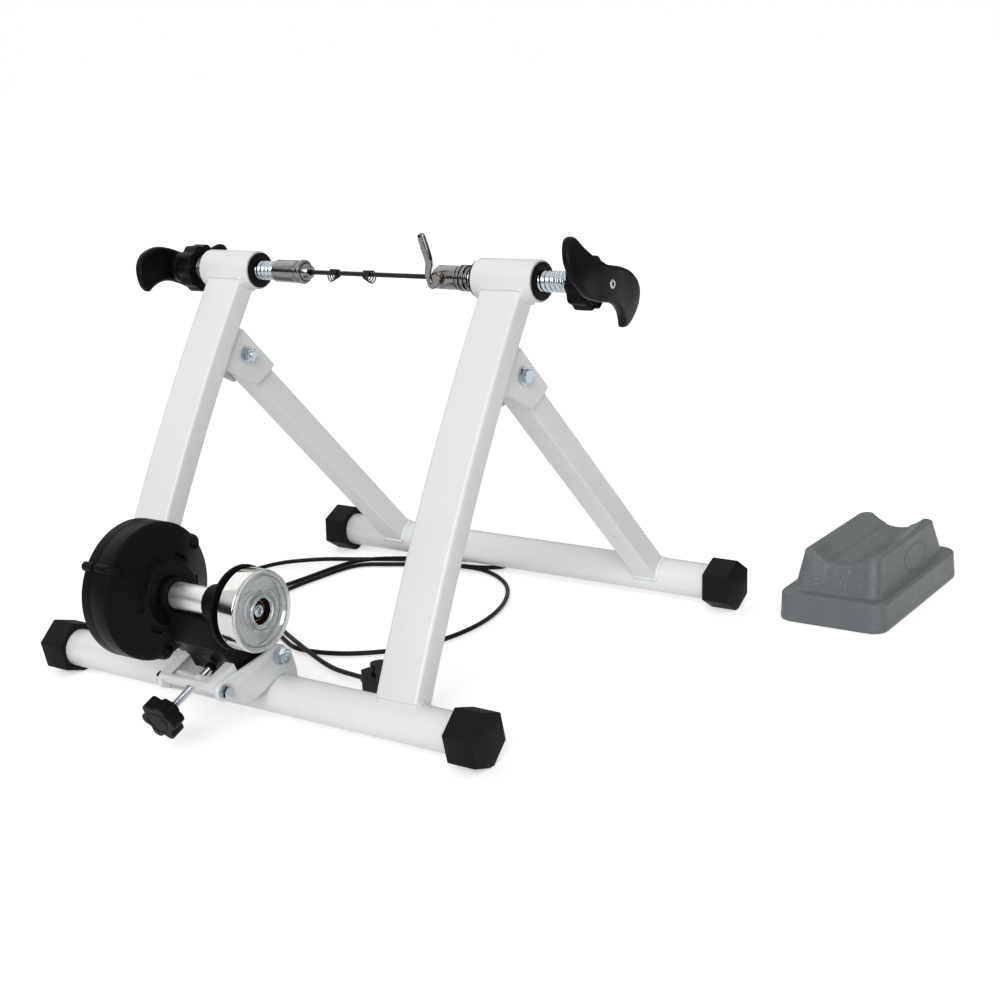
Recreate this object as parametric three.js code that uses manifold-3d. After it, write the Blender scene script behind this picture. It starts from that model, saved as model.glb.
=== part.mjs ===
// Folding indoor bicycle trainer with a magnetic roller unit, and the block for the front wheel.
// Millimetres. X runs along the wheel axle, Y away from the roller, Z up from the floor.
// Left is the side of the resistance housing, at negative X.

import * as THREE from "three";
import { mergeVertices } from "three/addons/utils/BufferGeometryUtils.js";
import Module from "manifold-3d";

const { degToRad } = THREE.MathUtils;

// General values
const clearance = 0.3;
const overrun = 2;
const mergeDistance = 0.0001;
const largeSides = 32;
const roundSides = 20;
const smallSides = 14;
const fewSides = 12;
const magnetSides = 8;
const cornerCuts = 4;
const windowCuts = 3;

// Base tubes and their hexagonal end caps
const baseTubeRadius = 19;
const baseTubeWall = 1.5;
const footWall = 4.9;
const footLength = 30.2;
const footEndWall = 4.2;
const footFlatDepth = 1.55;
const nearFootTurn = degToRad(11);
const farFootTurn = degToRad(-4);
const nearFootInner = 240.4;
const farFootInner = 247.1;
const farAxisY = 452.9;
const footCornerRadius = (baseTubeRadius + clearance + footWall) / Math.cos(Math.PI / 6);
const nearAxisZ = footCornerRadius * Math.cos(nearFootTurn) - footFlatDepth;
const farAxisZ = footCornerRadius * Math.cos(farFootTurn) - footFlatDepth;

// Uprights and the barrels on their tops
const axleY = 211.3;
const axleZ = 385.2;
const uprightCentre = 174.4;
const uprightWidth = 46.7;
const uprightDepth = 24.3;
const uprightWall = 1.8;
const uprightCorner = 4;
const uprightBow = 9.9;
const uprightSteps = 7;
const barrelRadius = 19.9;
const barrelWall = 4.9;
const barrelLength = 66.6;
const barrelInner = uprightCentre - barrelLength / 2;
const barrelOuter = uprightCentre + barrelLength / 2;

// Legs and the brackets that they fold in
const foldShare = 0.803;
const foldSetback = 24.6;
const legWidth = 28;
const legDepth = 27;
const legWall = 1.5;
const legCorner = 3;
const legEnd = 14;
const bracketPlate = 3;
const bracketSideGap = 1.2;
const bracketTopGap = 0.6;
const bracketReach = 41.3;
const boltRadius = 4;
const boltHeadRadius = 7.5;
const boltHeadHeight = 5.3;
const boltNutHeight = 6.5;
const washerRadius = 8.5;
const washerThickness = 1.6;
const boltTip = 2.5;

// Threaded rods with their bushes, lock rings and handles
const rodRadius = 9.9;
const rodChamfer = 1;
const bushFlangeRadius = 18;
const bushInnerFlange = 3;
const bushOuterFlange = 2.5;
const bushSleeve = 22;
const leftHandleInner = 247;
const rightHandleInner = 266;
const handleHubLength = 18;
const handleHubRadius = 16;
const handleEndWall = 4;
const handleTipRadius = 67;
const handleLean = 10.4;
const handleThickness = 9;
const leftHandleTurn = degToRad(-28);
const handleScrewShank = 3;
const handleScrewDepth = 9;
const ringRadius = 25;
const ringScallop = 2;
const ringLobes = 10;
const ringLobePoints = 4;
const ringLength = 18;
const ringInsertWall = 3;
const leftRingInner = 218;
const rightRingInner = 247.6;

// Axle cups and the quick release skewer between them
const cupRadius = 11.5;
const cupWall = 1.2;
const cupBeadRadius = 12.3;
const cupBeadLength = 6;
const cupGroove = 1.5;
const cupLength = 37;
const cupMouthDepth = 12;
const leftCupMouth = 77;
const rightCupMouth = 92;
const rightCupLength = 26;
const rightCollarLength = 11.5;
const rightCollarRadius = 12.6;
const rodPinRadius = 5.5;
const rodPinLength = 12;
const skewerRadius = 2.4;
const skewerNutTipRadius = 6.5;
const skewerNutLength = 17;
const skewerNutOut = 6.5;
const camRadius = 8.8;
const camOut = 4;
const camRodDepth = 7;
const leverPinX = 99.5;
const leverPinZ = 3;
const leverPinRadius = 2.2;
const leverThickness = 4.5;
const leverSteps = 11;
const leverWidth = 6.5;
const leverBossRadius = 5;
const leverPlane = 14.5;
const leverTipX = 83;
const leverTipZ = 44;
const springWire = 0.7;
const springSides = 5;
const springSteps = 8;
const springWideRadius = 6.6;
const springNarrowRadius = 3.7;
const springLength = 13;
const springTurns = 4.5;
const leftSpringX = -45;
const rightSpringX = 9;

// Pivot of the roller unit, the ears that carry it and the cross bracket between them
const pivotRise = 38.2;
const earInner = 33.5;
const earThickness = 4;
const earTipRadius = 9;
const earLobeRadius = 10.5;
const earLobeArc = { start: 112, end: 20, steps: 5 };
const earTipArc = { start: 262, end: 108, steps: 7 };
const screwAngle = degToRad(21);
const trayBoltBack = 72.7;
const screwOverPivot = 18.5;
const trayPlate = 1.8;
const trayOver = 11.1;
const trayFrontGap = 0.3;
const trayDrop = 10;
const trayLength = 31;
const trayStrip = 10.5;
const traySkirt = 18;
const trayWindowRound = 4;
const trayFrontHoleRadius = 4.8;
const nutWallBack = 64.5;
const nutWallThickness = 3;
const nutWallHeight = 12;
const nutRadius = 6.5;
const nutLength = 5;

// Adjusting screw
const screwRadius = 3.6;
const thrustBack = 44.7;
const capWall = 1.6;
const capLength = 7;
const capDome = 1.6;
const knobCentreBack = 117;
const knobRadius = 20;
const knobLobeDepth = 4.5;
const knobLobes = 6;
const knobLobePoints = 6;
const knobDipSharpness = 1.5;
const knobThickness = 14;
const knobHubRadius = 8;
const knobHubLength = 7;
const knobBoreDepth = 15;

// Roller, its shaft and the flywheel
const rollerForward = 63.5;
const rollerRise = 70.5;
const rollerRadius = 12.4;
const rollerLeft = -20.3;
const rollerRight = 24.6;
const shaftRadius = 5;
const bearingRadius = 12.7;
const bearingWidth = 8;
const flywheelRadius = 37.5;
const flywheelInner = 62;
const flywheelOuter = 79.5;
const flywheelWeb = 8;
const flywheelRim = 9;
const flywheelHub = 12;
const faceThickness = 2.4;
const faceRingRadius = 17;
const faceHoleRadius = 11.5;

// Yoke
const yokeArm = 4.9;
const yokeBossRadius = 16.5;
const yokeLeftBoss = 13;
const yokeRightBoss = 32;
const yokeSideGap = 0.6;
const yokeLipFrontShare = -1.15;
const yokeLipHeight = 8;
const yokeLipDepth = 7;
const yokePivotRadius = 10;
const yokePad = 4;
const yokePadHalf = 6;
const guardRadius = 38.6;
const guardThickness = 2.6;
const bearingLip = 1.6;
const bearingLipRadius = 9;

// Resistance housing
const housingRadius = 64;
const housingWall = 2.6;
const housingHubRadius = 27;
const housingConeLength = 18;
const housingInnerDepth = 37.5;
const housingOuterDepth = 15;
const housingEdge = 2.5;
const housingBackRadius = 57;
const ventCount = 6;
const ventInner = 31;
const ventOuter = 37.5;
const ventHalfWidth = 7;
const ventStart = degToRad(15);
const lugRadius = 4.5;
const lugAngles = [degToRad(150), degToRad(32), degToRad(272)];
const rotorRadius = 54;
const rotorThickness = 3;
const rotorHubRadius = 12;
const rotorHubLength = 9;
const rotorGap = 1.6;
const carrierRadius = 50;
const carrierThickness = 4;
const carrierGap = 2.5;
const magnetRadius = 7.5;
const magnetThickness = 3;
const magnetCircle = 38;
const magnetCount = 8;
const backPinRadius = 4;

// Cable boss on the back of the housing
const bossAngle = degToRad(-35);
const bossRadius = 5.5;
const bossSink = 0.5;
const bossReach = 9;
const bossBoreDepth = 12;

// Front wheel block
const blockX = 385.5;
const blockY = 551;
const blockWidth = 117;
const blockLength = 220;
const blockBaseHeight = 31;
const blockCorner = 18;
const blockRidgeZ = 70;
const blockValleyZ = 60;
const blockLedgeWidth = 95;
const blockLedgeLength = 187;
const blockTopWidth = 83;
const blockTopLength = 157;
const blockGrooveWidth = 54;
const blockWall = 3;
const blockBodyCorner = 12;
const blockBaseDraft = 3;

// Cable and the handlebar remote
const cableRadius = 2.5;
const cableSides = 8;
const cableSteps = 80;
const remoteX = 52;
const remoteY = 98;
const remoteZ = 9;
const remoteTurn = degToRad(-17.5);
const remoteBootRadius = 4.5;
const remoteBootEnd = 8;
const remoteBootLength = 10;
const remoteBodyLength = 40;
const remoteBodyWidth = 22;
const remoteBodyTop = 14;
const remoteBodyCorner = 5;
const remoteFloorGap = 0.4;
const remoteBarRadius = 11.1;
const remoteBandWall = 2.4;
const remoteBandWidth = 14;
const remoteLeverRadius = 9;
const remoteLeverReach = 44;
const remoteLeverWidth = 9;
const remoteLeverThickness = 5;
const remoteLeverLift = 4.8;
const remoteLeverTurn = degToRad(-30);

// The cable's middle line from the gland to the remote, as it lies.
const cableRoute = [
  [-88.3, -6.6, 94.5],
  [-98, -6.6, 94.5],
  [-119, 4, 82],
  [-144, 42, 36],
  [-164, 68.5, 13],
  [-200, 98, 4.2],
  [-248, 205, 3],
  [-303, 312, 3],
  [-289, 349, 5.5],
  [-249, 378, 7.8],
  [-212, 408, 4.4],
  [-158, 435, 3.2],
  [-58, 476.5, 3],
  [-39, 474.5, 3],
  [-34, 462, 3],
  [-50, 450.5, 3],
  [-104, 438, 3],
  [-160, 414, 3],
  [-197, 393, 3],
  [-211, 337, 3],
  [-214, 267, 3],
  [-199, 223, 3],
  [-110, 160, 3],
  [-71, 143, 3],
  [-15, 156, 3],
  [36, 203, 3],
  [55.5, 273, 3],
  [44, 347, 3],
  [6, 409, 3],
  [-45, 438.5, 3.8],
  [-85, 433, 6.8],
  [-126, 431, 8.7],
  [-165, 418, 8.7],
  [-203, 400, 5.6],
  [-223, 327, 3.4],
  [-226, 236, 3.9],
  [-168, 196.5, 8.7],
  [-60, 137, 8.5],
  [-4, 115, 4.4],
  [51.7, 98.1, 9],
];

const wasm = await Module();
wasm.setup();

// Shapes. Each helper returns a closed BufferGeometry.

function toSolid(geometry) {
  const bare = geometry.index ? geometry.toNonIndexed() : geometry.clone();
  bare.deleteAttribute("normal");
  bare.deleteAttribute("uv");
  const merged = mergeVertices(bare, mergeDistance);
  return new wasm.Manifold(
    new wasm.Mesh({
      numProp: 3,
      vertProperties: merged.attributes.position.array,
      triVerts: new Uint32Array(merged.index.array),
    }),
  );
}

function toGeometry(solid) {
  const mesh = solid.getMesh();
  const geometry = new THREE.BufferGeometry();
  geometry.setAttribute("position", new THREE.BufferAttribute(mesh.vertProperties, 3));
  geometry.setIndex(new THREE.BufferAttribute(mesh.triVerts, 1));
  return geometry;
}

function join(...geometries) {
  return toGeometry(geometries.map(toSolid).reduce((a, b) => a.add(b)));
}

function cut(geometry, ...tools) {
  return toGeometry(tools.map(toSolid).reduce((a, b) => a.subtract(b), toSolid(geometry)));
}

function box(x0, x1, y0, y1, z0, z1) {
  const geometry = new THREE.BoxGeometry(x1 - x0, y1 - y0, z1 - z0);
  return geometry.translate((x0 + x1) / 2, (y0 + y1) / 2, (z0 + z1) / 2);
}

// A solid of revolution about X from a profile of [x, radius] points.
function spin(profile, sides = roundSides) {
  const points = profile.map(([x, radius]) => new THREE.Vector2(radius, x));
  points.push(points[0].clone());
  if (THREE.ShapeUtils.area(points) < 0) points.reverse();
  return new THREE.LatheGeometry(points, sides).rotateZ(-Math.PI / 2);
}

function rod(x0, x1, radius, sides = roundSides) {
  return spin([[x0, 0], [x0, radius], [x1, radius], [x1, 0]], sides);
}

function pipe(x0, x1, inner, outer, sides = roundSides) {
  return spin([[x0, inner], [x0, outer], [x1, outer], [x1, inner]], sides);
}

function hexagon(x0, x1, radius) {
  return rod(x0, x1, radius, 6);
}

// A plate across X whose outline is a shape of Y and Z.
function plate(shape, x0, x1, curveSegments = fewSides) {
  const geometry = new THREE.ExtrudeGeometry(shape, { depth: x1 - x0, bevelEnabled: false, curveSegments });
  const turn = new THREE.Matrix4().makeBasis(
    new THREE.Vector3(0, 1, 0),
    new THREE.Vector3(0, 0, 1),
    new THREE.Vector3(1, 0, 0),
  );
  return geometry.applyMatrix4(turn).translate(x0, 0, 0);
}

function outline(points) {
  return new THREE.Shape(points.map(([a, b]) => new THREE.Vector2(a, b)));
}

// Hand placed shares of a width and a height, as an outline's points.
function scaled(shares, width, height) {
  return shares.map(([a, b]) => [a * width, b * height]);
}

function roundedRectangle(width, height, corner) {
  const shape = new THREE.Shape();
  const x = width / 2 - corner;
  const y = height / 2 - corner;
  shape.absarc(x, y, corner, 0, Math.PI / 2);
  shape.absarc(-x, y, corner, Math.PI / 2, Math.PI);
  shape.absarc(-x, -y, corner, Math.PI, 1.5 * Math.PI);
  shape.absarc(x, -y, corner, 1.5 * Math.PI, 2 * Math.PI);
  return shape;
}

// A rectangular tube along a path. The section's first side lies along X.
function boxTube(path, width, depth, wall, corner, steps) {
  const section = roundedRectangle(width, depth, corner);
  section.holes.push(roundedRectangle(width - 2 * wall, depth - 2 * wall, corner - wall / 2));
  return new THREE.ExtrudeGeometry(section, {
    steps,
    curveSegments: 1,
    extrudePath: path,
    bevelEnabled: false,
  });
}

// The stretch of X between two distances from the middle, on one side.
function span(side, inner, outer) {
  return side < 0 ? [-outer, -inner] : [inner, outer];
}

// Scene helpers

const finishes = {
  powderCoat: { color: 0xe3e5e2, roughness: 0.35, metalness: 0.0 },
  blackPlastic: { color: 0x1d1e1f, roughness: 0.5, metalness: 0.0 },
  rubber: { color: 0x17181a, roughness: 0.75, metalness: 0.0 },
  zinc: { color: 0xb9c0c6, roughness: 0.3, metalness: 1.0 },
  chrome: { color: 0xd6d6d4, roughness: 0.12, metalness: 1.0 },
  steel: { color: 0x9a9b9c, roughness: 0.35, metalness: 1.0 },
  darkSteel: { color: 0x2c2d2f, roughness: 0.4, metalness: 0.8 },
  aluminium: { color: 0xc9cacb, roughness: 0.4, metalness: 1.0 },
  clearFace: { color: 0xcfd3d6, roughness: 0.15, metalness: 0.4 },
  greyMoulding: { color: 0x70777a, roughness: 0.7, metalness: 0.0 },
};

const trainer = new THREE.Group();

function add(group, name, geometry, finish) {
  const drawn = geometry.index ? geometry.toNonIndexed() : geometry;
  drawn.computeVertexNormals();
  const mesh = new THREE.Mesh(drawn, new THREE.MeshStandardMaterial(finishes[finish]));
  mesh.name = name;
  group.add(mesh);
  return mesh;
}

function groupAt(parent, x, y, z) {
  const group = new THREE.Group();
  group.position.set(x, y, z);
  parent.add(group);
  return group;
}

const sides = [
  { side: -1, word: "left" },
  { side: 1, word: "right" },
];

// A bolt along X: hexagonal head at the far end, washers, and a nut at the near end.
function crossBolt(x0, x1, side) {
  const [low, high] = side > 0 ? [x0, x1] : [-x1, -x0];
  const pieces = [];
  for (const [face, way, height] of [[x0, -1, boltNutHeight], [x1, 1, boltHeadHeight]]) {
    const washerFace = face + way * washerThickness;
    const hexFace = washerFace + way * height;
    const ends = [face, washerFace, hexFace].map((x) => x * side);
    pieces.push(rod(Math.min(ends[0], ends[1]), Math.max(ends[0], ends[1]), washerRadius, smallSides));
    pieces.push(hexagon(Math.min(ends[1], ends[2]), Math.max(ends[1], ends[2]), boltHeadRadius));
  }
  const tip = washerThickness + boltNutHeight + boltTip;
  const shank = side > 0 ? rod(low - tip, high + washerThickness, boltRadius, smallSides)
    : rod(low - washerThickness, high + tip, boltRadius, smallSides);
  return join(shank, ...pieces);
}

// Base tubes with their end caps

function foot(side, inner, turn, axisZ) {
  const [x0, x1] = span(side, inner, inner + footLength);
  const [b0, b1] = span(side, inner - overrun, inner + footLength - footEndWall);
  const block = hexagon(x0, x1, footCornerRadius).rotateX(turn);
  const floor = box(
    x0 - overrun, x1 + overrun,
    -footCornerRadius, footCornerRadius,
    -axisZ - footCornerRadius, -axisZ,
  );
  return cut(block, rod(b0, b1, baseTubeRadius + clearance), floor);
}

function baseTube(inner) {
  const half = inner + footLength - footEndWall - clearance;
  return pipe(-half, half, baseTubeRadius - baseTubeWall, baseTubeRadius);
}

const nearBase = groupAt(trainer, 0, 0, nearAxisZ);
add(nearBase, "near_base_tube", baseTube(nearFootInner), "powderCoat");
const farBase = groupAt(trainer, 0, farAxisY, farAxisZ);
add(farBase, "far_base_tube", baseTube(farFootInner), "powderCoat");
for (const { side, word } of sides) {
  add(nearBase, "near_foot_" + word, foot(side, nearFootInner, nearFootTurn, nearAxisZ), "rubber");
  add(farBase, "far_foot_" + word, foot(side, farFootInner, farFootTurn, farAxisZ), "rubber");
}

// Uprights. Their middle line bows towards the roller side.

const uprightStart = new THREE.Vector3(0, 0, nearAxisZ);
const uprightTop = new THREE.Vector3(0, axleY, axleZ);
const uprightAlong = uprightTop.clone().sub(uprightStart).normalize();
const uprightBack = new THREE.Vector3(0, uprightAlong.z, -uprightAlong.y);

function uprightPath() {
  const middle = uprightStart.clone().add(uprightTop).multiplyScalar(0.5);
  middle.addScaledVector(uprightBack, -2 * uprightBow);
  return new THREE.QuadraticBezierCurve3(uprightStart, middle, uprightTop);
}

function crossTool(y, z, radius) {
  return rod(-uprightWidth, uprightWidth, radius + clearance, largeSides).translate(0, y, z);
}

function upright() {
  const tube = boxTube(uprightPath(), uprightWidth, uprightDepth, uprightWall, uprightCorner, uprightSteps);
  return cut(tube, crossTool(0, nearAxisZ, baseTubeRadius), crossTool(axleY, axleZ, barrelRadius));
}

for (const { side, word } of sides) {
  const place = groupAt(trainer, side * uprightCentre, 0, 0);
  add(place, "upright_" + word, upright(), "powderCoat");
}

// Legs fold about a bolt behind each upright. The leg frame's first axis runs down the leg.

const foldPivot = uprightPath().getPoint(foldShare);
foldPivot.addScaledVector(uprightBack, uprightDepth / 2 + foldSetback);
const farAxis = new THREE.Vector3(0, farAxisY, farAxisZ);
const legLine = farAxis.clone().sub(foldPivot);
const legLength = legLine.length();
const legAngle = Math.atan2(legLine.z, legLine.y);

function leg() {
  const path = new THREE.LineCurve3(new THREE.Vector3(0, -legEnd, 0), new THREE.Vector3(0, legLength, 0));
  const tube = boxTube(path, legWidth, legDepth, legWall, legCorner, 1);
  const farTube = rod(-legWidth, legWidth, baseTubeRadius + clearance, largeSides).translate(0, legLength, 0);
  return cut(tube, farTube, rod(-legWidth, legWidth, boltRadius + clearance, smallSides));
}

const bracketHalf = legWidth / 2 + bracketSideGap;
const bracketTop = legDepth / 2 + bracketTopGap + bracketPlate;
const bracketFrontShares = [[-0.855, 0.25], [-0.417, -0.97]];
const bracketLowShares = [[-0.259, -0.705], [0.816, -0.354], [1, 0.25]];

function bracketSide(x0) {
  const points = [
    ...scaled(bracketFrontShares, bracketReach, bracketReach),
    ...scaled(bracketLowShares, bracketReach, bracketReach),
    [bracketReach, bracketTop],
    [-bracketReach / 2, bracketTop],
  ];
  return plate(outline(points), x0, x0 + bracketPlate);
}

function hingeBracket() {
  const outer = bracketHalf + bracketPlate;
  const webStart = legEnd + clearance;
  const web = box(-outer, outer, webStart, bracketReach, bracketTop - bracketPlate, bracketTop);
  const channel = join(bracketSide(-outer), bracketSide(bracketHalf), web);
  const envelopeWidth = uprightWidth + 2 * clearance;
  const envelope = new THREE.ExtrudeGeometry(
    roundedRectangle(envelopeWidth, uprightDepth + 2 * clearance, uprightCorner),
    { steps: uprightSteps, curveSegments: 1, extrudePath: uprightPath(), bevelEnabled: false },
  );
  envelope.translate(0, -foldPivot.y, -foldPivot.z).rotateX(-legAngle);
  const holes = rod(-2 * legWidth, 2 * legWidth, boltRadius + clearance, smallSides);
  return cut(channel, envelope, holes);
}

for (const { side, word } of sides) {
  const place = groupAt(trainer, side * uprightCentre, foldPivot.y, foldPivot.z);
  place.rotation.x = legAngle;
  const face = bracketHalf + bracketPlate + clearance;
  add(place, "leg_" + word, leg(), "powderCoat");
  add(place, "hinge_bracket_" + word, hingeBracket(), "powderCoat");
  add(place, "hinge_bolt_" + word, crossBolt(-face, face, side), "zinc");
}

// Barrels, bushes, rods, lock rings, cups and handles, all on the axle line

const axleLine = groupAt(trainer, 0, axleY, axleZ);
const barrelBore = barrelRadius - barrelWall;

function bush(side, face, way, flange) {
  const near = face + way * clearance;
  const profile = [
    [near - way * bushSleeve, rodRadius + clearance],
    [near - way * bushSleeve, barrelBore - clearance],
    [near, barrelBore - clearance],
    [near, bushFlangeRadius],
    [near + way * flange, bushFlangeRadius],
    [near + way * flange, rodRadius + clearance],
  ];
  return spin(profile.map(([x, radius]) => [x * side, radius]));
}

// The rod turns in its cup by a plain pin and ends inside the handle's hub.
function threadedRod(side, cupBack, handleInner) {
  const start = cupBack + clearance;
  const end = handleInner + handleHubLength - handleEndWall - clearance;
  const profile = [
    [start - rodPinLength, 0],
    [start - rodPinLength, rodPinRadius],
    [start, rodPinRadius],
    [start, rodRadius - rodChamfer],
    [start + rodChamfer, rodRadius],
    [end, rodRadius],
    [end, handleScrewShank + clearance],
    [end - handleScrewDepth, handleScrewShank + clearance],
    [end - handleScrewDepth, 0],
  ];
  return spin(profile.map(([x, radius]) => [x * side, radius]));
}

function lockInsert(side, inner) {
  const [x0, x1] = span(side, inner, inner + ringLength);
  return pipe(x0, x1, rodRadius + clearance, rodRadius + clearance + ringInsertWall);
}

function lockRing(side, inner) {
  const [x0, x1] = span(side, inner, inner + ringLength);
  const shape = new THREE.Shape();
  const count = ringLobes * ringLobePoints;
  for (let i = 0; i < count; i += 1) {
    const angle = (i / count) * 2 * Math.PI;
    const radius = ringRadius - ringScallop * (1 - Math.cos(angle * ringLobes)) / 2;
    const point = [radius * Math.cos(angle), radius * Math.sin(angle)];
    if (i === 0) shape.moveTo(...point);
    else shape.lineTo(...point);
  }
  const bore = new THREE.Path();
  bore.absarc(0, 0, rodRadius + 2 * clearance + ringInsertWall, 0, 2 * Math.PI, true);
  shape.holes.push(bore);
  return plate(shape, x0, x1, roundSides / 2);
}

// One wing of the S shaped handle, as angle in degrees and share of the tip's radius.
const wingShares = [
  [60, 0.25],
  [29, 0.36],
  [8, 0.57],
  [-4, 0.72],
  [-14, 0.865],
  [-25, 0.965],
  [-36, 1],
  [-44, 0.99],
  [-49, 0.92],
  [-49, 0.77],
  [-50, 0.6],
  [-57, 0.4],
  [-80, 0.26],
];

// The wings lean towards the barrel as they reach out from the hub.
function handle(side, inner) {
  const points = [];
  for (const half of [0, Math.PI]) {
    for (const [degrees, share] of wingShares) {
      const angle = degToRad(degrees) + half;
      const radius = share * handleTipRadius;
      points.push(new THREE.Vector2(radius * Math.cos(angle), radius * Math.sin(angle)));
    }
  }
  const raised = points.map((p) => new THREE.Vector3(p.x, p.y, 0));
  const curve = new THREE.CatmullRomCurve3(raised, true, "centripetal");
  const smooth = curve.getPoints(2 * points.length).slice(0, -1);
  const hubOuter = inner + handleHubLength;
  const [x0, x1] = [hubOuter - handleThickness, hubOuter];
  const wings = plate(new THREE.Shape(smooth.map((p) => new THREE.Vector2(p.x, p.y))), x0, x1);
  const position = wings.attributes.position;
  for (let i = 0; i < position.count; i += 1) {
    const radius = Math.hypot(position.getY(i), position.getZ(i));
    position.setX(i, position.getX(i) - handleLean * (radius / handleTipRadius) ** 2);
  }
  const hub = rod(inner, hubOuter, handleHubRadius);
  const bore = rod(inner - overrun, hubOuter - handleEndWall, rodRadius + clearance);
  const screwHole = rod(inner, hubOuter + overrun, handleScrewShank + clearance, smallSides);
  const around = rod(inner - handleLean, inner, rodRadius + ringLength);
  const made = cut(join(wings, hub), bore, screwHole, around);
  return side < 0 ? made.rotateY(Math.PI).rotateX(leftHandleTurn) : made;
}

function leftCup() {
  const mouth = leftCupMouth;
  const back = mouth + cupLength;
  const profile = [
    [mouth, cupRadius - cupWall],
    [mouth, cupBeadRadius],
    [mouth + cupBeadLength, cupBeadRadius],
    [mouth + cupBeadLength, cupRadius - cupWall / 2],
    [mouth + cupBeadLength + cupGroove, cupRadius - cupWall / 2],
    [mouth + cupBeadLength + cupGroove, cupRadius],
    [back, cupRadius],
    [back, rodPinRadius + clearance],
    [back - rodPinLength - 2 * clearance, rodPinRadius + clearance],
    [back - rodPinLength - 2 * clearance, skewerRadius + clearance],
    [mouth + cupMouthDepth, skewerRadius + clearance],
    [mouth + cupMouthDepth, cupRadius - cupWall],
  ];
  return spin(profile.map(([x, radius]) => [-x, radius]));
}

function rightCup() {
  const mouth = rightCupMouth;
  const back = mouth + rightCupLength + rightCollarLength;
  const profile = [
    [mouth, cupRadius - cupWall],
    [mouth, cupRadius],
    [mouth + rightCupLength, cupRadius],
    [mouth + rightCupLength, rightCollarRadius],
    [back, rightCollarRadius],
    [back, rodPinRadius + clearance],
    [back - rodPinLength - 2 * clearance, rodPinRadius + clearance],
    [back - rodPinLength - 2 * clearance, skewerRadius + clearance],
    [mouth + cupMouthDepth, skewerRadius + clearance],
    [mouth + cupMouthDepth, cupRadius - cupWall],
  ];
  const slotHalf = leverPinRadius + clearance;
  const slot = box(
    mouth - overrun, leverPinX + slotHalf,
    -cupRadius - overrun, 0,
    leverPinZ - slotHalf, leverPinZ + slotHalf,
  );
  return cut(spin(profile), slot);
}

for (const { side, word } of sides) {
  const barrel = pipe(...span(side, barrelInner, barrelOuter), barrelBore, barrelRadius);
  add(axleLine, "barrel_" + word, barrel, "powderCoat");
  add(axleLine, "inner_bush_" + word, bush(side, barrelInner, -1, bushInnerFlange), "blackPlastic");
  add(axleLine, "outer_bush_" + word, bush(side, barrelOuter, 1, bushOuterFlange), "blackPlastic");
  const handleInner = side < 0 ? leftHandleInner : rightHandleInner;
  const ringInner = side < 0 ? leftRingInner : rightRingInner;
  const cupBack = side < 0 ? leftCupMouth + cupLength : rightCupMouth + rightCupLength + rightCollarLength;
  add(axleLine, word + "_cup", side < 0 ? leftCup() : rightCup(), "steel");
  add(axleLine, word + "_rod", threadedRod(side, cupBack, handleInner), "zinc");
  add(axleLine, word + "_handle", handle(side, handleInner), "blackPlastic");
  add(axleLine, word + "_lock_ring", lockRing(side, ringInner), "blackPlastic");
  add(axleLine, word + "_lock_insert", lockInsert(side, ringInner), "zinc");
}

// Quick release skewer. Its cam housing sits in the right cup's mouth and its nut in the left cup's.

const nutBack = -(leftCupMouth + cupMouthDepth - clearance);
const nutFront = -(leftCupMouth - skewerNutOut);
const camFront = rightCupMouth - camOut;
const camBack = rightCupMouth + cupMouthDepth - clearance;

function skewerRod() {
  return rod(nutBack + clearance, camFront + camRodDepth - clearance, skewerRadius, smallSides);
}

function skewerNut() {
  const profile = [
    [nutBack, skewerRadius + clearance],
    [nutBack, cupRadius - cupWall - clearance],
    [nutFront - skewerNutLength / 2, cupRadius - cupWall - clearance],
    [nutFront, skewerNutTipRadius],
    [nutFront, skewerRadius + clearance],
  ];
  return spin(profile, smallSides);
}

function turnedToY(geometry) {
  return geometry.rotateZ(Math.PI / 2);
}

function camHousing() {
  const body = rod(camFront, camBack, camRadius);
  const rodHole = rod(camFront - overrun, camFront + camRodDepth, skewerRadius + clearance, smallSides);
  const pinHole = turnedToY(rod(-2 * camRadius, 2 * camRadius, leverPinRadius + clearance, smallSides));
  pinHole.translate(leverPinX, 0, leverPinZ);
  return cut(body, rodHole, pinHole);
}

// The lever's own origin is the middle of its pin.
const leverShares = [[0.12, -0.17], [0.42, -0.2], [0.62, 0.06], [0.5, 0.31], [0.74, 0.67], [1, 1]];

function lever() {
  const reachX = leverTipX - leverPinX;
  const reachZ = leverTipZ - leverPinZ;
  const points = scaled(leverShares, reachX, reachZ).map(([x, z]) => new THREE.Vector3(x, 0, z));
  const section = roundedRectangle(leverThickness, leverWidth, leverThickness / 3);
  const bar = new THREE.ExtrudeGeometry(section, {
    steps: leverSteps,
    curveSegments: 1,
    extrudePath: new THREE.CatmullRomCurve3([new THREE.Vector3(), ...points]),
    bevelEnabled: false,
  });
  bar.translate(0, -leverPlane, 0);
  const inner = -leverPlane + leverThickness / 2;
  const outer = -leverPlane - leverThickness / 2;
  const boss = turnedToY(rod(outer, inner, leverBossRadius, smallSides));
  const pin = turnedToY(rod(-leverPlane, camRadius, leverPinRadius, smallSides));
  return join(bar, boss, pin);
}

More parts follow.
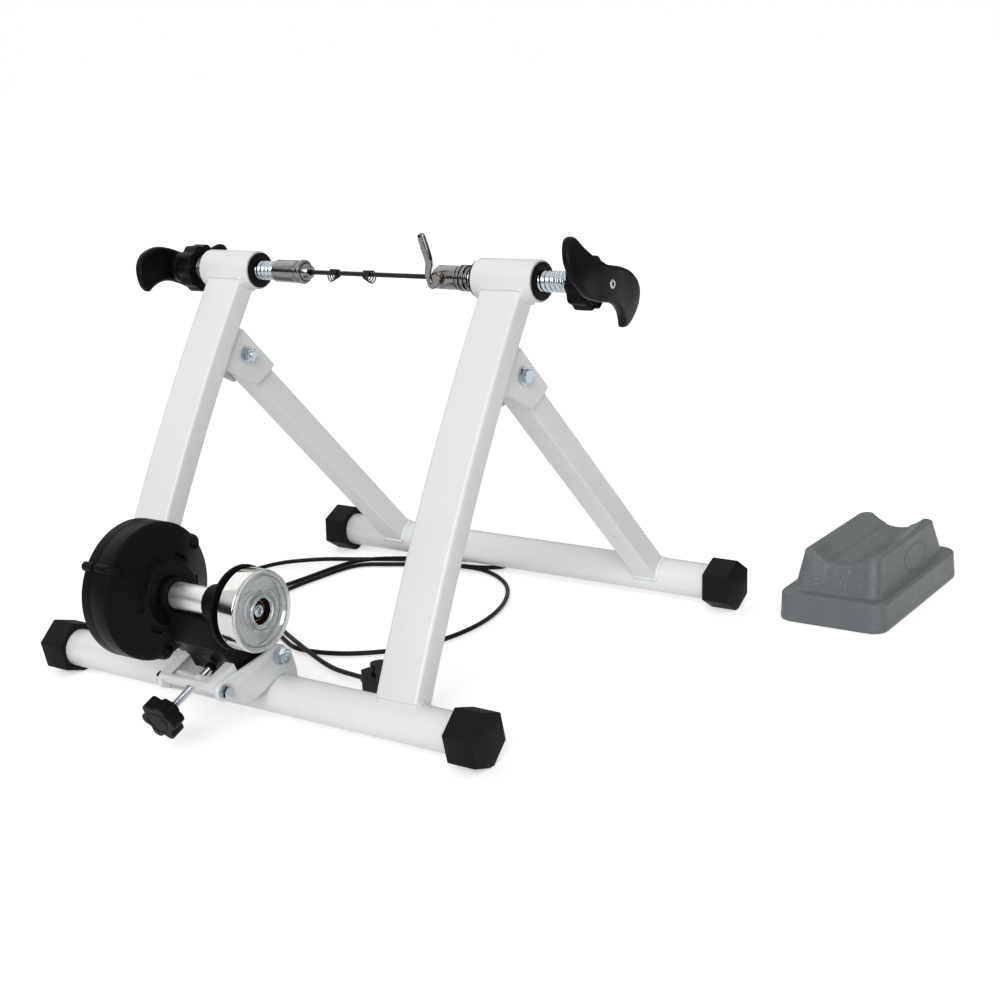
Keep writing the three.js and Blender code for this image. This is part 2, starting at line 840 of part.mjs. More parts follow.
// A closed tube along a list of points, with the same section at each of them.
function wire(points, radius, count) {
  const positions = [];
  const rings = points.map((point, i) => {
    const before = points[Math.max(i - 1, 0)];
    const after = points[Math.min(i + 1, points.length - 1)];
    const along = after.clone().sub(before).normalize();
    const out = new THREE.Vector3(1, 0, 0).addScaledVector(along, -along.x).normalize();
    const across = along.clone().cross(out);
    return Array.from({ length: count }, (_, j) => {
      const angle = (j / count) * 2 * Math.PI;
      const ring = point.clone().addScaledVector(out, radius * Math.cos(angle));
      return ring.addScaledVector(across, radius * Math.sin(angle));
    });
  });
  const face = (a, b, c) => positions.push(...a.toArray(), ...b.toArray(), ...c.toArray());
  for (let i = 0; i + 1 < rings.length; i += 1) {
    for (let j = 0; j < count; j += 1) {
      const k = (j + 1) % count;
      face(rings[i][j], rings[i + 1][k], rings[i + 1][j]);
      face(rings[i][j], rings[i][k], rings[i + 1][k]);
    }
  }
  const last = rings.length - 1;
  for (let j = 1; j + 1 < count; j += 1) {
    face(rings[0][0], rings[0][j + 1], rings[0][j]);
    face(rings[last][0], rings[last][j], rings[last][j + 1]);
  }
  const geometry = new THREE.BufferGeometry();
  geometry.setAttribute("position", new THREE.Float32BufferAttribute(positions, 3));
  return geometry;
}

// A conical spring hangs on the rod by the tops of its curls, its wide end outwards.
function springPoints(startX, way) {
  const steps = Math.round(springTurns * springSteps);
  return Array.from({ length: steps + 1 }, (_, i) => {
    const share = i / steps;
    const radius = springWideRadius + (springNarrowRadius - springWideRadius) * share;
    const sag = radius - springWire - skewerRadius - clearance;
    const angle = share * springTurns * 2 * Math.PI;
    return new THREE.Vector3(
      startX + way * share * springLength,
      radius * Math.sin(angle),
      radius * Math.cos(angle) - sag,
    );
  });
}

// The least gap between one curl's surface and the next, on the points of the middle line.
function leastGap(points) {
  let least = Infinity;
  for (let i = 0; i < points.length; i += 1) {
    for (let j = i + springSteps - 1; j < points.length; j += 1) {
      least = Math.min(least, points[i].distanceTo(points[j]) - 2 * springWire);
    }
  }
  return least;
}

add(axleLine, "skewer_rod", skewerRod(), "darkSteel");
add(axleLine, "skewer_nut", skewerNut(), "darkSteel");
add(axleLine, "skewer_cam_housing", camHousing(), "chrome");
const leverPlace = groupAt(axleLine, leverPinX, 0, leverPinZ);
add(leverPlace, "skewer_lever", lever(), "chrome");
for (const [word, x, way] of [["left", leftSpringX, 1], ["right", rightSpringX, -1]]) {
  const points = springPoints(x, way);
  console.log(`skewer spring ${word}: least gap to itself ${leastGap(points).toFixed(2)} mm`);
  add(axleLine, "skewer_spring_" + word, wire(points, springWire, springSides), "darkSteel");
}

// Ears on the near base tube. The pivot frame's origin is the middle of the pivot bolt.

const pivotFrame = groupAt(trainer, 0, 0, nearAxisZ + pivotRise);
const screwFrame = groupAt(pivotFrame, 0, 0, 0);
screwFrame.rotation.x = screwAngle;

const trayBoltY = -trayBoltBack * Math.cos(screwAngle) - screwOverPivot * Math.sin(screwAngle);
const trayBoltZ = -trayBoltBack * Math.sin(screwAngle) + screwOverPivot * Math.cos(screwAngle);
const earFace = earInner + earThickness + clearance;

function arc(y, z, radius, { start, end, steps }) {
  return Array.from({ length: steps + 1 }, (_, i) => {
    const angle = degToRad(start + ((end - start) * i) / steps);
    return [y + radius * Math.cos(angle), z + radius * Math.sin(angle)];
  });
}

const earRearShares = [[0.205, 0.03], [0.274, -0.458], [0.291, -0.757], [0.188, -1]];
const earLowShares = [[-0.094, -1], [-0.121, -0.524], [-0.322, -0.694], [-0.483, -0.759], [-0.671, -0.746]];

function ear(side) {
  const [x0, x1] = span(side, earInner, earInner + earThickness);
  const points = [
    ...arc(0, 0, earLobeRadius, earLobeArc),
    ...scaled(earRearShares, -trayBoltY, pivotRise),
    ...scaled(earLowShares, -trayBoltY, pivotRise),
    ...arc(trayBoltY, trayBoltZ, earTipRadius, earTipArc),
  ];
  const hole = boltRadius + clearance;
  const pivotHole = rod(x0 - overrun, x1 + overrun, hole, smallSides);
  const trayHole = rod(x0 - overrun, x1 + overrun, hole, smallSides).translate(0, trayBoltY, trayBoltZ);
  const tube = rod(x0 - overrun, x1 + overrun, baseTubeRadius + clearance, largeSides);
  tube.translate(0, 0, -pivotRise);
  return cut(plate(outline(points), x0, x1), pivotHole, trayHole, tube);
}

// A pressed bracket between the ears, along the adjusting screw, with a nut for it.
const trayHalf = earInner - clearance;
const trayTop = screwOverPivot + trayOver;
const trayInnerFace = -trayBoltBack - boltRadius - trayFrontGap;
const trayFront = trayInnerFace - trayPlate;
const trayBack = trayFront + trayLength;

function crossBracket() {
  const blank = box(-trayHalf, trayHalf, trayFront, trayBack, trayTop - traySkirt, trayTop);
  const under = trayHalf - trayPlate;
  const hollow = box(
    -under, under,
    trayInnerFace, trayBack + overrun,
    trayTop - 2 * traySkirt, trayTop - trayPlate,
  );
  const windowHalf = trayHalf - trayStrip;
  const opening = new THREE.ExtrudeGeometry(
    roundedRectangle(2 * windowHalf, 2 * trayLength, trayWindowRound),
    { depth: trayPlate + overrun, bevelEnabled: false, curveSegments: windowCuts },
  );
  opening.translate(0, trayInnerFace + trayLength + trayPlate, trayTop - trayPlate - overrun / 2);
  const lowFront = box(
    -trayHalf - overrun, trayHalf + overrun,
    trayFront - overrun, trayInnerFace,
    trayTop - 2 * traySkirt, trayTop - trayDrop,
  );
  const wallLow = screwOverPivot - nutWallHeight / 2;
  const wall = box(
    -under - trayPlate / 2, under + trayPlate / 2,
    -nutWallBack - nutWallThickness, -nutWallBack,
    wallLow, wallLow + nutWallHeight,
  );
  const nut = turnedToY(hexagon(-nutWallBack - nutWallThickness - nutLength, -nutWallBack, nutRadius));
  nut.translate(0, 0, screwOverPivot);
  const screwHole = turnedToY(rod(-2 * trayBoltBack, 0, screwRadius + clearance, smallSides));
  screwHole.translate(0, 0, screwOverPivot);
  const frontEnds = [trayFront - overrun, trayInnerFace + overrun];
  const frontHole = turnedToY(rod(...frontEnds, trayFrontHoleRadius, smallSides));
  frontHole.translate(0, 0, screwOverPivot);
  const boltHole = rod(-2 * trayHalf, 2 * trayHalf, boltRadius + clearance, smallSides);
  boltHole.translate(0, -trayBoltBack, screwOverPivot);
  const pressed = cut(blank, hollow, opening, lowFront, frontHole, boltHole);
  return cut(join(pressed, wall, nut), screwHole);
}

// A short bolt that holds the bracket's side to the ear. Its thread ends just inside the bracket.
function bracketBolt(side, inside) {
  const washerFace = earFace + washerThickness;
  const head = washerFace + boltHeadHeight;
  const profile = [
    [inside - boltTip, 0],
    [inside - boltTip, boltRadius],
    [earFace, boltRadius],
    [earFace, washerRadius],
    [washerFace, washerRadius],
    [washerFace, 0],
  ];
  const shank = spin(profile.map(([x, radius]) => [x * side, radius]), smallSides);
  const [x0, x1] = span(side, earFace, head);
  return join(shank, hexagon(x0, x1, boltHeadRadius));
}

add(screwFrame, "cross_bracket", crossBracket(), "powderCoat");
for (const { side, word } of sides) {
  add(pivotFrame, "ear_" + word, ear(side), "powderCoat");
  const boltPlace = groupAt(pivotFrame, 0, trayBoltY, trayBoltZ);
  const trayInside = trayHalf - trayPlate - clearance;
  add(boltPlace, "bracket_bolt_" + word, bracketBolt(side, trayInside), "zinc");
}
add(pivotFrame, "pivot_bolt", crossBolt(-earFace, earFace, -1), "zinc");

// Adjusting screw with its knob and thrust cap, along the screw frame's second axis

const screwLine = groupAt(screwFrame, 0, 0, screwOverPivot);
const knobBack = -knobCentreBack + knobThickness / 2;
const capFace = -thrustBack - clearance;
const capBack = capFace - capLength;

function adjusterKnob() {
  const shape = new THREE.Shape();
  const count = knobLobes * knobLobePoints;
  for (let i = 0; i < count; i += 1) {
    const angle = (i / count) * 2 * Math.PI;
    const dip = ((1 - Math.cos(angle * knobLobes)) / 2) ** knobDipSharpness;
    const radius = knobRadius - knobLobeDepth * dip;
    const point = [radius * Math.cos(angle), radius * Math.sin(angle)];
    if (i === 0) shape.moveTo(...point);
    else shape.lineTo(...point);
  }
  const star = new THREE.ExtrudeGeometry(shape, { depth: knobThickness, bevelEnabled: false });
  star.rotateX(Math.PI / 2).translate(0, knobBack, 0);
  const hubEnd = knobBack + knobHubLength;
  const hub = turnedToY(rod(knobBack - knobThickness / 2, hubEnd, knobHubRadius, smallSides));
  const boreEnds = [hubEnd - knobBoreDepth, hubEnd + overrun];
  const bore = turnedToY(rod(...boreEnds, screwRadius + clearance, smallSides));
  return cut(join(star, hub), bore);
}

function adjusterScrew() {
  const start = knobBack + knobHubLength - knobBoreDepth + clearance;
  const end = capFace - capWall - capDome - clearance;
  return turnedToY(rod(start, end, screwRadius, smallSides));
}

function thrustCap() {
  const radius = screwRadius + clearance + capWall;
  const bore = capFace - capWall - capDome;
  const profile = [
    [capBack, screwRadius + clearance],
    [capBack, radius],
    [capFace - capDome, radius],
    [capFace, radius - 2 * capDome],
    [capFace, 0],
    [bore, 0],
    [bore, screwRadius + clearance],
  ];
  return turnedToY(spin(profile, smallSides));
}

add(screwLine, "adjuster_knob", adjusterKnob(), "blackPlastic");
add(screwLine, "adjuster_screw", adjusterScrew(), "zinc");
add(screwLine, "thrust_cap", thrustCap(), "blackPlastic");

// Yoke of the roller unit. It turns on the pivot bolt and carries the roller's bearings.

const leftArm = [rollerLeft - yokeSideGap - yokeArm, rollerLeft - yokeSideGap];
const rightArm = [rollerRight + yokeSideGap, rollerRight + yokeSideGap + yokeArm];
const leftBossEnd = leftArm[1] - yokeLeftBoss;
const rightBossEnd = rightArm[0] + yokeRightBoss;
const bearingSeat = bearingRadius + clearance;

const yokeArmShares = [
  [-1.25, 0.92], [-1.15, 0.78], [-1.07, 0.68], [-1.03, 0.349], [-0.8, 0.085], [-0.73, -0.06],
  [-0.45, -0.1], [0.05, -0.13], [0.13, 0], [0.05, 0.13], [-0.2, 0.2], [-0.45, 0.5], [-0.6, 0.9], [-0.75, 1.1],
];
const yokeWebShares = [
  [-1.1, 0.78], [-1.03, 0.78], [-0.97, 0.36], [-0.74, 0.115], [0, 0.14], [0, 0.08], [-0.74, 0.05],
  [-0.8, 0.085], [-1.03, 0.349],
];

function yoke() {
  const armShape = outline(scaled(yokeArmShares, rollerForward, rollerRise));
  const webShape = outline(scaled(yokeWebShares, rollerForward, rollerRise));
  const between = [leftArm[0], rightArm[1]];
  const lipTop = rollerRise - rollerRadius - 2 * yokeSideGap;
  const lipFront = rollerForward * yokeLipFrontShare;
  const lip = box(...between, lipFront, lipFront + yokeLipDepth, lipTop - yokeLipHeight, lipTop);
  const pad = box(
    ...between,
    -thrustBack, -thrustBack + yokePad,
    screwOverPivot - yokePadHalf, screwOverPivot + yokePadHalf,
  );
  pad.rotateX(screwAngle);
  const tubeHalf = trayHalf;
  const bosses = [
    rod(leftBossEnd, leftArm[1], yokeBossRadius),
    rod(rightArm[0], rightBossEnd, yokeBossRadius),
    rod(rightBossEnd, rightBossEnd + guardThickness, guardRadius, largeSides),
  ];
  for (const boss of bosses) boss.translate(0, -rollerForward, rollerRise);
  const solid = join(
    plate(armShape, ...leftArm),
    plate(armShape, ...rightArm),
    plate(webShape, ...between),
    lip,
    pad,
    rod(-tubeHalf, tubeHalf, yokePivotRadius),
    ...bosses,
  );
  const bores = [
    rod(leftBossEnd - overrun, leftArm[1] - bearingLip, bearingSeat),
    rod(leftBossEnd - overrun, leftArm[1] + overrun, bearingLipRadius),
    rod(rightArm[0] - overrun, rightBossEnd + guardThickness + overrun, bearingLipRadius),
    rod(rightBossEnd + guardThickness - bearingWidth, rightBossEnd + guardThickness + overrun, bearingSeat),
  ];
  for (const bore of bores) bore.translate(0, -rollerForward, rollerRise);
  return cut(solid, rod(-2 * tubeHalf, 2 * tubeHalf, boltRadius + clearance, smallSides), ...bores);
}

add(pivotFrame, "yoke", yoke(), "blackPlastic");

// Everything on the roller's axis, in a frame whose first axis is the roller's

const rollerLine = groupAt(pivotFrame, 0, -rollerForward, rollerRise);
const shellFace = leftArm[0] - clearance;
const coneEdge = shellFace - housingConeLength;
const seam = shellFace - housingInnerDepth;
const outerSeam = seam - clearance;
const shellBack = outerSeam - housingOuterDepth;
const backInside = shellBack + housingWall;
const carrierBack = backInside + carrierGap;
const magnetFace = carrierBack + carrierThickness + magnetThickness;
const rotorBack = magnetFace + rotorGap;

function bearing(x0) {
  return pipe(x0, x0 + bearingWidth - clearance, shaftRadius + clearance, bearingRadius);
}

function lugs(x0, x1, angles) {
  return angles.map((angle) => {
    const lug = rod(x0, x1, lugRadius, fewSides);
    return lug.translate(0, housingRadius * Math.cos(angle), housingRadius * Math.sin(angle));
  });
}

function housingInnerShell() {
  const hole = yokeBossRadius + clearance;
  const inside = housingRadius - housingWall;
  const profile = [
    [shellFace, hole],
    [shellFace, housingHubRadius],
    [coneEdge, housingRadius - housingEdge],
    [coneEdge - housingEdge, housingRadius],
    [seam, housingRadius],
    [seam, inside],
    [coneEdge - housingEdge, inside],
    [coneEdge - housingEdge, inside - housingEdge],
    [shellFace - housingWall, housingHubRadius - housingWall],
    [shellFace - housingWall, hole],
  ];
  const vents = Array.from({ length: ventCount }, (_, i) => {
    const slot = box(coneEdge, shellFace + overrun, -ventHalfWidth, ventHalfWidth, ventInner, ventOuter);
    return slot.rotateX(ventStart + (i / ventCount) * 2 * Math.PI);
  });
  const cavity = spin([
    [seam - overrun, 0],
    [seam - overrun, inside],
    [coneEdge - housingEdge, inside],
    [coneEdge - housingEdge, 0],
  ], largeSides);
  const body = join(spin(profile, largeSides), ...lugs(seam, coneEdge - housingEdge, lugAngles));
  return cut(body, cavity, ...vents);
}

function housingOuterShell() {
  const inside = housingRadius - housingWall;
  const profile = [
    [shellBack, 0],
    [shellBack, housingBackRadius],
    [shellBack + housingEdge, housingRadius - housingEdge],
    [shellBack + 2 * housingEdge, housingRadius],
    [outerSeam, housingRadius],
    [outerSeam, inside],
    [shellBack + 2 * housingEdge, inside],
    [backInside, housingBackRadius - housingWall],
    [backInside, backPinRadius],
    [carrierBack + carrierThickness, backPinRadius],
    [carrierBack + carrierThickness, 0],
  ];
  const cavity = spin([
    [outerSeam + overrun, 0],
    [outerSeam + overrun, inside],
    [shellBack + 2 * housingEdge, inside],
    [shellBack + 2 * housingEdge, 0],
  ], largeSides);
  const pin = rod(backInside - clearance, carrierBack + carrierThickness, backPinRadius, smallSides);
  const bossX = [shellBack - bossReach, outerSeam - housingEdge];
  const centre = housingRadius + bossRadius - bossSink;
  const boss = rod(...bossX, bossRadius, smallSides).translate(0, centre, 0);
  const saddle = box(shellBack + 2 * housingEdge, bossX[1], inside, centre, -bossRadius, bossRadius);
  const bore = rod(bossX[0] - overrun, bossX[0] + bossBoreDepth, cableRadius + clearance, fewSides);
  bore.translate(0, centre, 0);
  for (const piece of [boss, saddle, bore]) piece.rotateX(bossAngle);
  const rimLugs = lugs(shellBack + 2 * housingEdge, outerSeam, lugAngles);
  const shell = cut(join(spin(profile, largeSides), saddle, ...rimLugs), cavity);
  return cut(join(shell, pin, boss), bore);
}

function magnetCarrier() {
  const discFaces = [carrierBack, carrierBack + carrierThickness];
  const disc = pipe(...discFaces, backPinRadius + clearance, carrierRadius, largeSides);
  const magnets = Array.from({ length: magnetCount }, (_, i) => {
    const magnet = rod(carrierBack + carrierThickness / 2, magnetFace, magnetRadius, magnetSides);
    return magnet.translate(0, 0, magnetCircle).rotateX((i / magnetCount) * 2 * Math.PI);
  });
  return join(disc, ...magnets);
}

function rotorDisc() {
  const bore = shaftRadius + clearance;
  return spin([
    [rotorBack, bore],
    [rotorBack, rotorRadius],
    [rotorBack + rotorThickness, rotorRadius],
    [rotorBack + rotorThickness, rotorHubRadius],
    [rotorBack + rotorHubLength, rotorHubRadius],
    [rotorBack + rotorHubLength, bore],
  ], largeSides);
}

function flywheel() {
  const bore = shaftRadius + clearance;
  const rim = flywheelRadius - flywheelRim;
  return spin([
    [flywheelInner, bore],
    [flywheelInner, flywheelRadius],
    [flywheelOuter, flywheelRadius],
    [flywheelOuter, rim],
    [flywheelInner + flywheelWeb, rim],
    [flywheelInner + flywheelWeb, flywheelHub],
    [flywheelOuter, flywheelHub],
    [flywheelOuter, bore],
  ], largeSides);
}

function flywheelFace() {
  const back = flywheelOuter + clearance;
  return spin([
    [back, faceHoleRadius],
    [back, flywheelRadius],
    [back + faceThickness, flywheelRadius - faceThickness],
    [back + faceThickness, faceRingRadius],
    [back + faceThickness / 2, faceRingRadius - faceThickness],
    [back + faceThickness / 2, faceHoleRadius],
  ], largeSides);
}

const rollerBore = shaftRadius + clearance;
add(rollerLine, "housing_inner_shell", housingInnerShell(), "blackPlastic");
add(rollerLine, "housing_outer_shell", housingOuterShell(), "blackPlastic");
add(rollerLine, "magnet_carrier", magnetCarrier(), "steel");
add(rollerLine, "rotor_disc", rotorDisc(), "aluminium");
add(rollerLine, "left_bearing", bearing(leftArm[1] - bearingLip - bearingWidth), "steel");
add(rollerLine, "right_bearing", bearing(rightBossEnd + guardThickness - bearingWidth + clearance), "steel");
add(rollerLine, "roller", pipe(rollerLeft, rollerRight, rollerBore, rollerRadius), "aluminium");
add(rollerLine, "roller_shaft", rod(rotorBack + clearance, flywheelOuter, shaftRadius, smallSides), "steel");
add(rollerLine, "flywheel", flywheel(), "chrome");
add(rollerLine, "flywheel_face", flywheelFace(), "clearFace");

// Front wheel block, hollow from below, with a groove for the tyre

const blockPlace = groupAt(trainer, blockX, blockY, 0);

// A rounded block that narrows from its base to its top.
function tapered(base, top, corner, z0, z1) {
  const geometry = new THREE.ExtrudeGeometry(
    roundedRectangle(base[0], base[1], corner),
    { depth: z1 - z0, bevelEnabled: false, curveSegments: cornerCuts },
  );
  const position = geometry.attributes.position;
  for (let i = 0; i < position.count; i += 1) {
    const share = position.getZ(i) / (z1 - z0);
    const widthShare = 1 + (top[0] / base[0] - 1) * share;
    const lengthShare = 1 + (top[1] / base[1] - 1) * share;
    position.setXYZ(i, position.getX(i) * widthShare, position.getY(i) * lengthShare, position.getZ(i) + z0);
  }
  return geometry;
}

function wheelBlock() {
  const baseTop = [blockWidth - 2 * blockBaseDraft, blockLength - 2 * blockBaseDraft];
  const wall = 2 * blockWall;
  const grooveDepth = blockRidgeZ - blockValleyZ;
  const grooveRadius = ((blockGrooveWidth / 2) ** 2 + grooveDepth ** 2) / (2 * grooveDepth);
  const outer = join(
    tapered([blockWidth, blockLength], baseTop, blockCorner, 0, blockBaseHeight),
    tapered(
      [blockLedgeWidth, blockLedgeLength], [blockTopWidth, blockTopLength],
      blockBodyCorner, blockBaseHeight - blockWall, blockRidgeZ,
    ),
  );
  const hollowTop = blockValleyZ - blockWall;
  const lower = tapered(
    [blockWidth - wall, blockLength - wall],
    [baseTop[0] - wall, baseTop[1] - wall],
    blockCorner - blockWall, -overrun, blockBaseHeight - blockWall,
  );
  const upper = tapered(
    [blockLedgeWidth - wall, blockLedgeLength - wall],
    [blockTopWidth - wall, blockTopLength - wall],
    blockBodyCorner - blockWall, blockBaseHeight - 2 * blockWall, hollowTop,
  );
  const groove = turnedToY(rod(-blockLength, blockLength, grooveRadius, 2 * largeSides));
  groove.translate(0, 0, blockValleyZ + grooveRadius);
  return cut(outer, groove, lower, upper);
}

add(blockPlace, "wheel_block", wheelBlock(), "greyMoulding");

// Cable and the remote at its far end

function cable() {
  const points = cableRoute.map((point) => new THREE.Vector3(...point));
  const path = new THREE.CatmullRomCurve3(points, false, "centripetal");
  const section = new THREE.Shape();
  for (let i = 0; i < cableSides; i += 1) {
    const angle = ((i + 0.5) / cableSides) * 2 * Math.PI;
    const point = [cableRadius * Math.cos(angle), cableRadius * Math.sin(angle)];
    if (i === 0) section.moveTo(...point);
    else section.lineTo(...point);
  }
  return new THREE.ExtrudeGeometry(section, {
    steps: cableSteps,
    extrudePath: path,
    bevelEnabled: false,
  });
}

add(trainer, "cable", cable(), "blackPlastic");

const remotePlace = groupAt(trainer, remoteX, remoteY, remoteZ);
remotePlace.rotation.z = remoteTurn;
const remoteFloor = remoteFloorGap - remoteZ;
const remoteBodyEnd = remoteBootLength + remoteBodyLength;
const remoteLeverX = remoteBootLength + remoteBodyLength / 2;

function remoteBody() {
  const boot = spin([
    [0, 0],
    [0, remoteBootRadius],
    [remoteBootLength + remoteBodyCorner, remoteBootEnd],
    [remoteBootLength + remoteBodyCorner, 0],
  ], smallSides);
  const block = new THREE.ExtrudeGeometry(
    roundedRectangle(remoteBodyLength, remoteBodyWidth, remoteBodyCorner),
    { depth: remoteBodyTop - remoteFloor, bevelEnabled: false, curveSegments: cornerCuts },
  );
  block.translate(remoteLeverX, 0, remoteFloor);
  const bandOuter = remoteBarRadius + remoteBandWall;
  const bandX = remoteBodyEnd + bandOuter - remoteBandWall;
  const bandZ = remoteFloor + bandOuter;
  const half = remoteBandWidth / 2;
  const band = turnedToY(rod(-half, half, bandOuter)).translate(bandX, 0, bandZ);
  const bar = turnedToY(rod(-remoteBodyWidth, remoteBodyWidth, remoteBarRadius)).translate(bandX, 0, bandZ);
  return cut(join(boot, block, band), bar);
}

function remoteLever() {
  const low = remoteBodyTop + clearance;
  const plateLow = low + remoteLeverLift;
  const high = plateLow + remoteLeverThickness;
  const upright = (geometry) => geometry.rotateY(-Math.PI / 2);
  const boss = upright(rod(low, high, remoteLeverRadius, smallSides));
  const half = remoteLeverWidth / 2;
  const tip = upright(rod(plateLow, high, half, smallSides)).translate(remoteLeverReach, 0, 0);
  const arm = box(0, remoteLeverReach, -half, half, plateLow, high);
  return join(boss, arm, tip);
}

add(remotePlace, "remote_body", remoteBody(), "blackPlastic");
const remoteLeverPlace = groupAt(remotePlace, remoteLeverX, 0, 0);
remoteLeverPlace.rotation.z = remoteLeverTurn;
add(remoteLeverPlace, "remote_lever", remoteLever(), "blackPlastic");

// The origin goes to the middle of the footprint of everything but the cable and its remote.

const loosePieces = ["cable", "remote_body", "remote_lever"];
const footprint = new THREE.Box3();
trainer.updateMatrixWorld(true);
trainer.traverse((piece) => {
  if (piece.isMesh && !loosePieces.includes(piece.name)) footprint.expandByObject(piece, true);
});
const middle = footprint.getCenter(new THREE.Vector3());
trainer.position.set(-middle.x, -middle.y, -footprint.min.z);
const moved = trainer.position.toArray().map((value) => value.toFixed(3));
console.log(`moved by ${moved.join(", ")} mm`);

export default trainer;
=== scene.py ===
import math

import bmesh
import bpy
import numpy as np
from mathutils import Matrix, Vector


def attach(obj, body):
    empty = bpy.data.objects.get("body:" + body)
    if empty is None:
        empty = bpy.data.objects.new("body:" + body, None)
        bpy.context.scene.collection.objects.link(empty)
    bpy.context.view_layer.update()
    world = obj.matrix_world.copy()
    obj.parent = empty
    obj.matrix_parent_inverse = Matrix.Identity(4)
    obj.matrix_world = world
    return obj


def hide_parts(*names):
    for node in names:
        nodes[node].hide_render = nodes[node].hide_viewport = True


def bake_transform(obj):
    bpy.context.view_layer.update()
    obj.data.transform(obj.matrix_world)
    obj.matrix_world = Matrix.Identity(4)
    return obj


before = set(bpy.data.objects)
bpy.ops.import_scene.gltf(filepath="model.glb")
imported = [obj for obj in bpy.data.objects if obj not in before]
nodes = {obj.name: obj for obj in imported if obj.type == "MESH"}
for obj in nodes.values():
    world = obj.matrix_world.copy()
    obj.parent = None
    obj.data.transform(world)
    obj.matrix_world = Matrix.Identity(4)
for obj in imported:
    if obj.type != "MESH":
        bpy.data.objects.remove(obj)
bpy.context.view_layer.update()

print("frame loaded:", len(nodes), "nodes")

# Places. The trainer is drawn in millimetres from the middle of its near base tube's floor line,
# and rowShift brings that to the row frame.
rowShift = np.array([-83.350, -266.030, 0.0])
nearAxis = (0.0, 25.88)      # y and z of the near base tube, as of the next three
farAxis = (452.9, 26.33)
axleAt = (211.3, 385.2)
foldAt = (195.95, 298.96)
uprightX = 174.4
screwTurn = math.radians(21)
flywheelOut = 2.4            # the flywheel sits this much further out than its solid
legTurn = math.atan2(farAxis[1] - foldAt[1], farAxis[0] - foldAt[0])
legLength = math.hypot(farAxis[1] - foldAt[1], farAxis[0] - foldAt[0])


def frameAt(x, y, z, turnX=0.0, turnZ=0.0):
    # a 4x4 of a place in the trainer, turned about X and then about Z, in millimetres
    turn = Matrix.Rotation(turnZ, 4, "Z") @ Matrix.Rotation(turnX, 4, "X")
    return np.array(Matrix.Translation((x, y, z)) @ turn)


wholeFrame = frameAt(0, 0, 0)
axleFrame = frameAt(0, *axleAt)
pivotFrame = frameAt(0, 0, 64.08)
screwFrame = pivotFrame @ frameAt(0, 0, 0, screwTurn) @ frameAt(0, 0, 18.5)
rollerFrame = pivotFrame @ frameAt(0, -63.5, 70.5)
flywheelFrame = rollerFrame @ frameAt(flywheelOut, 0, 0)
trayFrame = pivotFrame @ frameAt(0, -74.501, -8.782)
blockFrame = frameAt(385.5, 551, 0)
legFrames = {side: frameAt(side * uprightX, *foldAt, legTurn) for side in (-1, 1)}
alongY = frameAt(0, 0, 0, 0, math.radians(90))   # turns a shape made along X to lie along Y


def toRow(points, place=wholeFrame):
    # turns and moves a piece's own millimetres into the row frame's metres
    flat = np.asarray(points, float).reshape(-1, 3)
    moved = flat @ place[:3, :3].T + place[:3, 3] + rowShift
    return (moved / 1000).reshape(np.asarray(points).shape)


# Camera, solved from the photograph's edges
camera = {
    "place": (0.96505, -1.31513, 0.6008),
    "yaw": -0.621, "pitch": 0.271, "roll": -0.060,
    "focal": 1657.4, "frame": 1000, "sensor": 36.0,
}


def makeCamera(s):
    # forward from yaw and pitch, then right and up turned by the roll about it
    cosY, sinY = math.cos(s["yaw"]), math.sin(s["yaw"])
    cosP, sinP = math.cos(s["pitch"]), math.sin(s["pitch"])
    forward = np.array([sinY * cosP, cosY * cosP, -sinP])
    right = np.array([cosY, -sinY, 0.0])
    up = np.cross(right, forward)
    cosR, sinR = math.cos(s["roll"]), math.sin(s["roll"])
    matrix = np.eye(4)
    matrix[:3, 0] = cosR * right + sinR * up
    matrix[:3, 1] = -sinR * right + cosR * up
    matrix[:3, 2] = -forward
    matrix[:3, 3] = s["place"]
    data = bpy.data.cameras.new("camera")
    data.sensor_fit = "HORIZONTAL"
    data.sensor_width = s["sensor"]
    data.lens = s["focal"] / s["frame"] * s["sensor"]
    data.clip_end = 60
    made = bpy.data.objects.new("camera", data)
    made.matrix_world = Matrix(matrix.tolist())
    bpy.context.scene.collection.objects.link(made)
    bpy.context.scene.camera = made


makeCamera(camera)
print("camera placed")

# Materials. Sizes of grain, waves and lines are millimetres. Where the real grain or tool mark is too fine
# to show in the render, it is drawn as coarse as it needs to show, from about 0.4 mm up.


def linear(colour):
    # sRGB hex to linear, channel by channel
    parts = np.array([int(colour[i:i + 2], 16) / 255 for i in (1, 3, 5)])
    value = np.where(parts <= 0.04045, parts / 12.92, ((parts + 0.055) / 1.055) ** 2.4)
    return (*value.tolist(), 1.0)


def addNode(tree, kind, sockets=None, **settings):
    # sockets maps an input's name or number to a value, or to (node, output) for a link
    node = tree.nodes.new(kind)
    for name, value in settings.items():
        setattr(node, name, value)
    for name, value in (sockets or {}).items():
        if isinstance(value, tuple) and isinstance(value[0], bpy.types.Node):
            tree.links.new(value[0].outputs[value[1]], node.inputs[name])
        else:
            node.inputs[name].default_value = value
    return node


